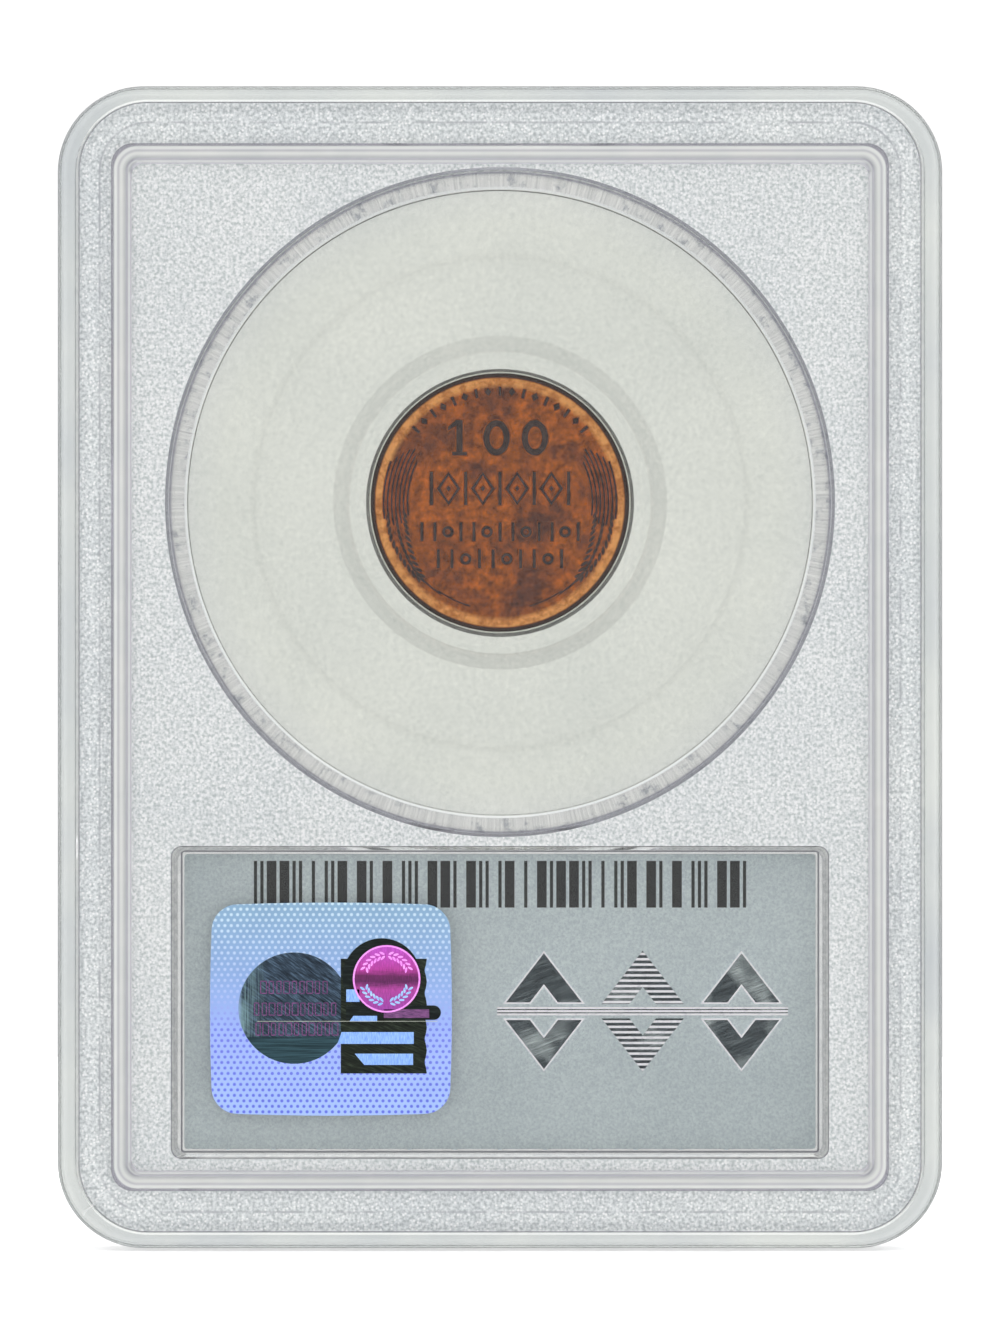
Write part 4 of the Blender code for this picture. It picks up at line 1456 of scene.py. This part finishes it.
def dark_mirror():
    made, tree, shader = new_finish("foil_painted_dark_reflection", Metallic=1.0, Roughness=0.22)
    place = object_coordinates(tree)
    marks = brushed(tree, place, 2.2 * mm, 0.09 * mm, radians(20))
    patches = noise(tree, place, 2.6 * mm, detail=2.0)
    # Painted reflection: a dark base colour for the dark room that the foil mirrors, with lighter
    # painted patches.
    dark = ramp(tree, marks, [
        (0.32, (0.018, 0.026, 0.032)), (0.55, (0.060, 0.078, 0.088)), (0.75, (0.22, 0.25, 0.26)),
    ])
    light = ramp(tree, marks, [(0.3, (0.16, 0.19, 0.20)), (0.7, (0.55, 0.60, 0.60))])
    share = ramp(tree, patches, [(0.52, (0, 0, 0)), (0.70, (0.8, 0.8, 0.8))])
    tree.links.new(mix(tree, share, dark, light), shader.inputs["Base Color"])
    bump(tree, shader, marks, 0.3, 0.01 * mm)
    return made


def bright_mirror():
    # Painted highlight: the foil's bright edges, hatching and rule lines, which glow a little though
    # they are no lamp.
    made, tree, shader = new_finish(
        "foil_edge_painted_highlight", Metallic=0.1, Roughness=0.35,
        Emission_Color=(1.0, 0.95, 1.0, 1), Emission_Strength=0.30,
    )
    place = object_coordinates(tree)
    marks = noise(tree, place, 0.4 * mm, detail=3.0)
    tint = ramp(tree, marks, [
        (0.30, (0.62, 0.62, 0.66)), (0.5, (0.95, 0.93, 0.97)), (0.8, (1.0, 0.98, 1.0)),
    ])
    tree.links.new(tint, shader.inputs["Base Color"])
    return made


foil_painted_reflection = dark_mirror()
foil_painted_highlight = bright_mirror()
FOIL_FINISHES = (foil_painted_reflection, foil_painted_highlight)

# %% Lozenges
LOZENGE_STROKE = 1.6 * mm
FOIL_EDGE = 0.11 * mm
HATCH_PITCH = 0.39 * mm
HATCH_LINE = 0.17 * mm
HATCH_START = 0.05 * mm
HATCH_DEPTH = 0.012 * mm


def half_lozenge(low, high):
    """Half a lozenge's frame as (x, z) points, from its node's box. It points away from the rule."""
    side = 1 if low.z > (rule_low.z + rule_high.z) / 2 else -1
    foot, tip = (low.z, high.z) if side > 0 else (high.z, low.z)
    middle, outer_foot = (low.x + high.x) / 2, (high.x - low.x) / 2
    slope = abs(tip - foot) / outer_foot
    inner_tip = tip - side * LOZENGE_STROKE * (1 + slope**2) ** 0.5
    inner_foot = abs(inner_tip - foot) / slope
    return [
        (middle - outer_foot, foot), (middle - inner_foot, foot), (middle, inner_tip),
        (middle + inner_foot, foot), (middle + outer_foot, foot), (middle, tip),
    ]


def foil_lozenge(across, half):
    node = f"foil_lozenge_{across}_{half}"
    low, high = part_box(node)
    bm = bmesh.new()
    points = half_lozenge(low, high)
    raise_shape(bm, points, high.y, low.y + 0.01 * mm, low.y, FOIL_EDGE, 0, 1)
    name = f"foil_{across}_{half}"
    return keep(name, bm, FOIL_FINISHES, "slab", [node])


def hatched_lozenge(half):
    """Half of the middle lozenge: a painted dark reflection as ground, with level lines of painted
    highlight over it.
    """
    node = f"foil_lozenge_middle_{half}"
    low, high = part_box(node)
    bm = bmesh.new()
    ground = low.y + HATCH_DEPTH
    raise_shape(bm, half_lozenge(low, high), high.y, ground, ground)
    lines = bmesh.new()
    raise_shape(lines, half_lozenge(low, high), high.y, low.y, low.y)
    count = int((high.z - low.z) / HATCH_PITCH)
    for place in range(count + 1):
        for edge_z in (0, HATCH_LINE):
            cut = low.z + place * HATCH_PITCH + edge_z + HATCH_START
            everything = lines.verts[:] + lines.edges[:] + lines.faces[:]
            bmesh.ops.bisect_plane(
                lines, geom=everything, plane_co=(0, 0, cut), plane_no=(0, 0, 1), dist=SAME_PLACE
            )
    spare = []
    for face in lines.faces:
        z = face.calc_center_median().z - low.z - HATCH_START
        if z % HATCH_PITCH > HATCH_LINE or z < 0:
            spare.append(face)
    bmesh.ops.delete(lines, geom=spare, context="FACES")
    bmesh.ops.holes_fill(lines, edges=lines.edges, sides=0)
    keep(f"foil_middle_{half}_hatching", lines, (foil_painted_highlight,), "slab")
    return keep(f"foil_middle_{half}", bm, (foil_painted_reflection,), "slab", [node])


for across in ("left", "right"):
    for half in ("upper", "lower"):
        foil_lozenge(across, half)
for half in ("upper", "lower"):
    hatched_lozenge(half)


# %% Triple rule
def foil_rule_lines():
    bm = bmesh.new()
    middle = (rule_low + rule_high) / 2
    width, height = rule_high.x - rule_low.x, rule_high.z - rule_low.z
    line = 0.15 * mm
    bar(bm, width, height, middle.x, middle.z, rule_low.y + HATCH_DEPTH, rule_high.y)
    for place in (-1, 0, 1):
        z = middle.z + place * (height - line) / 2
        # The three lines take the painted highlight finish.
        bar(bm, width, line, middle.x, z, rule_low.y, rule_high.y - 0.01 * mm, 1)
    return keep("foil_rule_lines", bm, FOIL_FINISHES, "slab", ["foil_rule"])


foil_rule_lines()

# %% [markdown]
# ## The security sticker
#
# A security sticker is a film with a fine embossed dot pattern under bright foil. Its shift
# from pale blue to violet from its top to its bottom is a painted sheen in the film's colour.
# Its sides bow out a little. On it lie overprinted shapes, here a dark disc, a notched block,
# a pill and a red roundel with four sprays. Each is a very thin layer, a few thousandths of a
# millimetre over the last.
# Print is placed in millimetres from the sticker's middle, and the disc and the roundel are
# each given as x, z and radius.

# %% Sticker sizes
STICKER_MIDDLE = (sticker_low + sticker_high) / 2
STICKER_WIDTH = sticker_high.x - sticker_low.x
STICKER_HEIGHT = sticker_high.z - sticker_low.z
FILM_FACE = sticker_low.y + 0.04 * mm
LAYER = 0.004 * mm
DISC = (-2.68, 0.07, 4.05)
ROUNDEL = (4.05, 2.20, 2.46)


def layer(number):
    """The face of a print layer. Layer 0 is the film itself, and higher ones lie on top."""
    return FILM_FACE - number * LAYER


def on_sticker(points):
    return [(STICKER_MIDDLE.x + x * mm, STICKER_MIDDLE.z + z * mm) for x, z in points]


def bowed_outline(width, height, radius, bow):
    """A rounded rectangle as (x, z) points, whose corners are drawn in so that its sides bow out."""
    sketch = bmesh.new()
    corners = [
        sketch.verts.new((x * width / 2, 0, z * height / 2))
        for x, z in ((-1, -1), (1, -1), (1, 1), (-1, 1))
    ]
    edges = [sketch.edges.new(pair) for pair in zip(corners, corners[1:] + corners[:1])]
    bmesh.ops.subdivide_edges(sketch, edges=edges, cuts=7)
    for vert in sketch.verts:
        across, up = 2 * vert.co.x / width, 2 * vert.co.z / height
        vert.co.x -= bow * across * up**2
        vert.co.z -= bow * up * across**2
    bmesh.ops.edgeloop_fill(sketch, edges=sketch.edges[:])
    tips = sorted(sketch.verts, key=lambda vert: -abs(vert.co.x) - abs(vert.co.z))[:4]
    bmesh.ops.bevel(
        sketch, geom=tips, affect="VERTICES", offset=radius, segments=12, profile=0.5, material=-1,
    )
    sketch.faces.ensure_lookup_table()
    points = [(vert.co.x, vert.co.z) for vert in sketch.faces[0].verts]
    sketch.free()
    return points


# %% Dotted film
DOT_PITCH = 0.46 * mm


def dot_lattice(tree, place):
    """Three waves crossing at 60 degrees, whose sum peaks on a honeycomb of dots."""
    total = None
    for degrees in (30, 90, 150):
        rate = 4 * pi / (3**0.5 * DOT_PITCH)
        wave = add_node(tree, "ShaderNodeVectorMath", operation="DOT_PRODUCT")
        wave.inputs[1].default_value = (rate * cos(radians(degrees)), 0, rate * sin(radians(degrees)))
        tree.links.new(place, wave.inputs[0])
        height = add_node(tree, "ShaderNodeMath", operation="COSINE")
        tree.links.new(wave.outputs["Value"], height.inputs[0])
        if total is None:
            total = height.outputs[0]
            continue
        both = add_node(tree, "ShaderNodeMath", operation="ADD")
        tree.links.new(total, both.inputs[0])
        tree.links.new(height.outputs[0], both.inputs[1])
        total = both.outputs[0]
    return spread(tree, total, -1.5, 3.0)


def up_the_sticker(tree):
    """0 at the sticker's lower edge and 1 at its upper one."""
    return spread(tree, place_along(tree, "Z"), sticker_low.z, sticker_high.z)


def dotted_film():
    made, tree, shader = new_finish("dotted_film", Roughness=0.38, Metallic=0.15)
    place = object_coordinates(tree)
    up = up_the_sticker(tree)
    dots = dot_lattice(tree, place)
    # Painted sheen: the film's colour changes with height up the sticker, for the hologram's shift of
    # colour with the light.
    ground = ramp(tree, up, [
        (0.0, (0.40, 0.56, 1.0)), (0.35, (0.37, 0.49, 0.98)), (0.65, (0.28, 0.43, 0.76)),
        (1.0, (0.26, 0.43, 0.60)),
    ])
    spot = ramp(tree, up, [
        (0.0, (0.12, 0.16, 0.78)), (0.40, (0.18, 0.22, 0.80)), (0.55, (0.40, 0.52, 0.88)),
        (1.0, (0.60, 0.78, 0.88)),
    ])
    share = ramp(tree, dots, [(0.40, (0, 0, 0)), (0.70, (0.95, 0.95, 0.95))])
    cloud = noise(tree, place, 2.5 * mm, detail=3.0)
    wide = ramp(tree, cloud, [(0.3, (0.93, 0.93, 0.95)), (0.7, (1, 1, 1))])
    tint = mix(tree, 1.0, mix(tree, share, ground, spot), wide, "MULTIPLY")
    tree.links.new(tint, shader.inputs["Base Color"])
    bump(tree, shader, dots, 0.3, 0.02 * mm)
    return made


film = dotted_film()


def security_sticker():
    bm = bmesh.new()
    points = bowed_outline(STICKER_WIDTH, STICKER_HEIGHT, 1.72 * mm, 0.2 * mm)
    placed = [(STICKER_MIDDLE.x + x, STICKER_MIDDLE.z + z) for x, z in points]
    raise_shape(bm, placed, sticker_high.y, FILM_FACE + 0.02 * mm, FILM_FACE, 0.03 * mm)
    return keep("security_sticker", bm, (film,), "slab", ["hologram_sticker"])


security_sticker()


# %% Dark print finishes
def dark_print(name, low, high, turn, fade=False):
    """Brushed dark foil print. With fade it goes pale towards its left edge, in upright streaks."""
    made, tree, shader = new_finish(name, Roughness=0.35, Metallic=0.3)
    place = object_coordinates(tree)
    marks = brushed(tree, place, 0.9 * mm, 0.10 * mm, turn)
    between = tuple((a + b) / 3 for a, b in zip(low, high))
    colour = ramp(tree, marks, [(0.30, low), (0.52, between), (0.72, high)])
    if fade:
        upright = brushed(tree, place, 3.0 * mm, 0.11 * mm, pi / 2)
        left = spread(
            tree, place_along(tree, "X"), STICKER_MIDDLE.x - 6.9 * mm, STICKER_MIDDLE.x - 4.1 * mm
        )
        edge = ramp(tree, left, [(0.0, (1, 1, 1)), (0.25, (0.55, 0.55, 0.55)), (0.8, (0, 0, 0))])
        streaks = ramp(tree, upright, [(0.40, (0, 0, 0)), (0.62, (1, 1, 1))])
        pale = mix(tree, 1.0, edge, streaks, "MULTIPLY")
        colour = mix(tree, pale, colour, (0.30, 0.50, 0.52))
        solid = ramp(tree, left, [(0.0, (1, 1, 1)), (0.16, (0, 0, 0))])
        colour = mix(tree, solid, colour, (0.33, 0.47, 0.80))
        low_part = spread(
            tree, place_along(tree, "Z"), STICKER_MIDDLE.z - 2.1 * mm, STICKER_MIDDLE.z - 1.9 * mm
        )
        level = brushed(tree, place, 4.0 * mm, 0.10 * mm)
        teal = ramp(tree, level, [(0.35, (0.012, 0.035, 0.045)), (0.7, (0.05, 0.12, 0.15))])
        colour = mix(tree, low_part, teal, colour)
    tree.links.new(colour, shader.inputs["Base Color"])
    bump(tree, shader, marks, 0.3, 0.01 * mm)
    return made


disc_print = dark_print("disc_print", (0.008, 0.014, 0.024), (0.12, 0.20, 0.30), radians(-35), fade=True)
block_print = dark_print("block_print", (0.006, 0.008, 0.007), (0.05, 0.07, 0.045), radians(-20))
pill_print = dark_print("pill_print", (0.006, 0.010, 0.010), (0.030, 0.045, 0.040), 0.0)


def plain_print(name, low, high, size, turn=0.0):
    """One ink with fine brush marks."""
    made, tree, shader = new_finish(name, Roughness=0.4, Metallic=0.1)
    place = object_coordinates(tree)
    marks = brushed(tree, place, 6 * size, size, turn)
    tree.links.new(ramp(tree, marks, [(0.3, low), (0.7, high)]), shader.inputs["Base Color"])
    return made


def banded_print():
    """The roundel's red: pinker above, with a dark streaked band across its middle."""
    made, tree, shader = new_finish("roundel_print", Roughness=0.4, Metallic=0.1)
    place = object_coordinates(tree)
    middle = STICKER_MIDDLE.z + ROUNDEL[1] * mm
    up = spread(tree, place_along(tree, "Z"), middle - 2.4 * mm, middle + 2.4 * mm)
    wave = mix(tree, 0.12, up, brushed(tree, place, 1.2 * mm, 0.10 * mm))
    base = ramp(tree, wave, [
        (0.0, (0.32, 0.05, 0.40)), (0.36, (0.42, 0.05, 0.32)), (0.46, (0.12, 0.015, 0.10)),
        (0.54, (0.15, 0.015, 0.11)), (0.62, (0.46, 0.04, 0.32)), (1.0, (0.54, 0.09, 0.62)),
    ])
    threads = brushed(tree, place, 0.5 * mm, 0.08 * mm, pi / 2)
    weave = ramp(tree, threads, [(0.3, (0.65, 0.65, 0.65)), (0.7, (1.3, 1.2, 1.3))])
    tree.links.new(mix(tree, 1.0, base, weave, "MULTIPLY"), shader.inputs["Base Color"])
    return made


blue_print = plain_print("blue_print", (0.14, 0.30, 0.85), (0.38, 0.62, 1.0), 0.07 * mm, pi / 2)
purple_print = plain_print("purple_print", (0.05, 0.02, 0.08), (0.30, 0.10, 0.30), 0.08 * mm)
roundel_print = banded_print()
pink_print = plain_print("pink_print", (0.85, 0.22, 0.85), (1.0, 0.42, 1.0), 0.2 * mm)
pale_blue_print = plain_print("pale_blue_print", (0.22, 0.42, 0.95), (0.45, 0.70, 1.0), 0.2 * mm)
scratch_print = plain_print("bare_scratch", (0.30, 0.33, 0.27), (0.65, 0.68, 0.60), 0.3 * mm)


# %% Disc, block and pill
def print_layer(name, outlines, number, finish):
    bm = bmesh.new()
    for points in outlines:
        raise_shape(bm, on_sticker(points), layer(number - 1) + LAYER, layer(number), layer(number))
    return keep(name, bm, (finish,), "slab")


def scalloped_block(left, right, low, high, scallops):
    """A block whose right edge has shallow round bites."""
    points = [(left, high), (left, low), (right, low)]
    pitch = (high - low) / scallops
    for place in range(scallops):
        start = low + place * pitch
        for step in range(1, 6):
            points.append((right - 0.16 * sin(pi * step / 6), start + pitch * (0.2 + 0.6 * step / 6)))
        points.append((right, start + pitch))
    return points


def pill(width, height, x, z):
    """A bar with a round right end."""
    radius, steps = height / 2, 12
    points = [(x - width / 2, z + radius), (x - width / 2, z - radius)]
    for step in range(steps + 1):
        angle = -pi / 2 + pi * step / steps
        points.append((x + width / 2 - radius + radius * cos(angle), z + radius * sin(angle)))
    return points


disc = oval(2 * DISC[2], 2 * DISC[2], DISC[0], DISC[1], 96)
roundel_shadow = oval(5.7, 5.7, ROUNDEL[0] - 0.35, ROUNDEL[1] + 0.1, 64)
print_layer("sticker_disc", [disc], 1, disc_print)
print_layer("sticker_block", [scalloped_block(0.72, 6.98, -4.68, 3.66, 5)], 2, block_print)
print_layer("sticker_roundel_shadow", [roundel_shadow], 3, pill_print)
print_layer("sticker_pill", [pill(6.9, 1.05, 4.55, -0.26)], 4, pill_print)
print_layer("sticker_plate", [rectangle(3.3, 0.62, 5.5, -0.33)], 5, purple_print)


# %% Blue bars and purple marks
def outlined_marks(number):
    """Three rows of small upright frames across the disc."""
    bm = bmesh.new()
    frame_line, frame_height, pitch = 0.07, 0.92, 0.56
    base, top = layer(number - 1) + LAYER, layer(number)
    for row, (z, left, count) in enumerate(((1.58, -4.9, 9), (0.0, -5.4, 11), (-1.45, -5.3, 11))):
        for place in range(count):
            x = left + place * pitch
            width = 0.30 if (place + row) % 3 else 0.42
            sides = [(x + side * width / 2, z, frame_line, frame_height) for side in (-1, 1)]
            ends = [(x, z + end * 0.44, width, frame_line) for end in (-1, 1)]
            for bar_x, bar_z, across, up in sides + ends:
                placed_x, placed_z = STICKER_MIDDLE.x + bar_x * mm, STICKER_MIDDLE.z + bar_z * mm
                bar(bm, across * mm, up * mm, placed_x, placed_z, top, base)
    return keep("sticker_marks", bm, (purple_print,), "slab")


outlined_marks(2)
blue_bars = [
    rectangle(5.25, 0.86, 3.40, -2.10, -0.30), rectangle(4.25, 0.82, 3.85, -3.65, 0.70),
    rectangle(0.96, 0.90, 1.60, 0.98), rectangle(1.72, 0.42, 2.50, -0.70, -0.3),
]
print_layer("sticker_blue_bars", blue_bars, 5, blue_print)


# %% Roundel
def roundel_sprays(name, spans, finish, number):
    """Leaves in pairs along arcs inside the roundel's ring."""
    bm = bmesh.new()
    leaves, radius = 6, 1.72
    for start, end in spans:
        for place in range(leaves):
            angle = radians(start + (end - start) * place / (leaves - 1))
            along = angle + pi / 2
            for side in (-1, 1):
                spot_radius = radius + side * 0.17
                x = ROUNDEL[0] + spot_radius * sin(angle)
                z = ROUNDEL[1] + spot_radius * cos(angle)
                lean = along + side * (0.6 if end > start else -0.6)
                grain(
                    bm, STICKER_MIDDLE.x + x * mm, layer(number), STICKER_MIDDLE.z + z * mm,
                    0.42 * mm, 0.17 * mm, 0.006 * mm, lean,
                )
    return keep(name, bm, (finish,), "slab")


def roundel_ring(number):
    bm = bmesh.new()
    size = 2 * ROUNDEL[2] * mm
    base, top = layer(number - 1) + LAYER, layer(number)
    x, z = STICKER_MIDDLE.x + ROUNDEL[0] * mm, STICKER_MIDDLE.z + ROUNDEL[1] * mm
    raise_oval_ring(bm, size, size, 0.13 * mm, x, z, base, top, top)
    return keep("sticker_roundel_ring", bm, (pink_print,), "slab")


roundel_size = 2 * ROUNDEL[2] - 0.1
roundel = oval(roundel_size, roundel_size, ROUNDEL[0], ROUNDEL[1], 96)
print_layer("sticker_roundel", [roundel], 5, roundel_print)
roundel_ring(6)
roundel_sprays("sticker_sprays_upper", ((-66, -10), (66, 10)), pink_print, 5)
roundel_sprays("sticker_sprays_lower", ((-112, -166), (112, 166)), pale_blue_print, 5)
print_layer("sticker_scratch", [rectangle(13.1, 0.035, 1.2, -0.885)], 7, scratch_print)

# %% [markdown]
# ## Stage and light
#
# The slab stands on a pale floor in an even white surround. In a studio, white and black
# cards round a clear object make its slopes show as lines. The world does that here: it has
# one set of levels for light that falls on a surface, one for what a surface
# mirrors and one for what is seen through the plastic, each by how far a direction turns
# from the slab's faces. They are alike in front and behind.


# %% Floor
FLOOR_RADIUS = 300 * mm
FLOOR_DROP = 0.2 * mm


def stage_floor():
    """A round pale floor, wide enough for the slab's shadow."""
    bm = bmesh.new()
    bmesh.ops.create_circle(bm, cap_ends=True, radius=FLOOR_RADIUS, segments=96)
    mesh = bpy.data.meshes.new("floor")
    bm.to_mesh(mesh)
    bm.free()
    made, _, _ = new_finish(
        "floor_paint", Base_Color=(0.93, 0.93, 0.93, 1), Roughness=0.9,
        Emission_Color=(1, 1, 1, 1), Emission_Strength=0.5,
    )
    mesh.materials.append(made)
    floor = bpy.data.objects.new("floor", mesh)
    floor.location.z = -FLOOR_DROP
    floor.visible_transmission = False
    floor.visible_glossy = False
    scene.collection.objects.link(floor)


stage_floor()


# %% World
SOFT_LIGHT = [(0.0, 0.95), (0.4, 1.15), (0.8, 1.25), (1.0, 1.15)]
SEEN_THROUGH = [
    (0.0, 1.16), (0.30, 1.16), (0.45, 1.16), (0.60, 1.0), (0.68, 0.95), (0.73, 1.10), (0.77, 1.10),
    (0.79, 0.35), (0.82, 0.35), (0.85, 0.88), (0.93, 0.93), (1.0, 0.97),
]
MIRRORED = [(0.0, 0.6), (0.35, 0.8), (0.55, 1.6), (0.75, 1.3), (0.90, 0.2), (1.0, 0.10)]
BACKDROP = 1.05


def studio_world():
    """Soft light all round, with other values for what mirrors and for what is seen through plastic."""
    world = bpy.data.worlds.new("studio")
    world.use_nodes = True
    scene.world = world
    tree = world.node_tree
    tree.nodes.clear()
    source = add_node(tree, "ShaderNodeTexCoord")
    parts = add_node(tree, "ShaderNodeSeparateXYZ")
    tree.links.new(source.outputs["Generated"], parts.inputs["Vector"])
    depth = add_node(tree, "ShaderNodeMath", operation="ABSOLUTE")
    tree.links.new(parts.outputs["Y"], depth.inputs[0])
    path = add_node(tree, "ShaderNodeLightPath")

    def room(levels):
        stops = [(place, (level, level, level * 1.01)) for place, level in levels]
        made = add_node(tree, "ShaderNodeBackground", Strength=1.0)
        tree.links.new(ramp(tree, depth.outputs[0], stops), made.inputs["Color"])
        return made.outputs[0]

    light = room(SOFT_LIGHT)
    for flag, levels in (("Is Glossy Ray", MIRRORED), ("Is Transmission Ray", SEEN_THROUGH)):
        both = add_node(tree, "ShaderNodeMixShader")
        tree.links.new(path.outputs[flag], both.inputs["Fac"])
        tree.links.new(light, both.inputs[1])
        tree.links.new(room(levels), both.inputs[2])
        light = both.outputs[0]
    backdrop = add_node(tree, "ShaderNodeBackground", Strength=BACKDROP)
    backdrop.inputs["Color"].default_value = (1, 1, 1, 1)
    last = add_node(tree, "ShaderNodeMixShader")
    tree.links.new(path.outputs["Is Camera Ray"], last.inputs["Fac"])
    tree.links.new(light, last.inputs[1])
    tree.links.new(backdrop.outputs[0], last.inputs[2])
    out = add_node(tree, "ShaderNodeOutputWorld")
    tree.links.new(last.outputs[0], out.inputs["Surface"])


studio_world()
scene.view_settings.view_transform = "Standard"
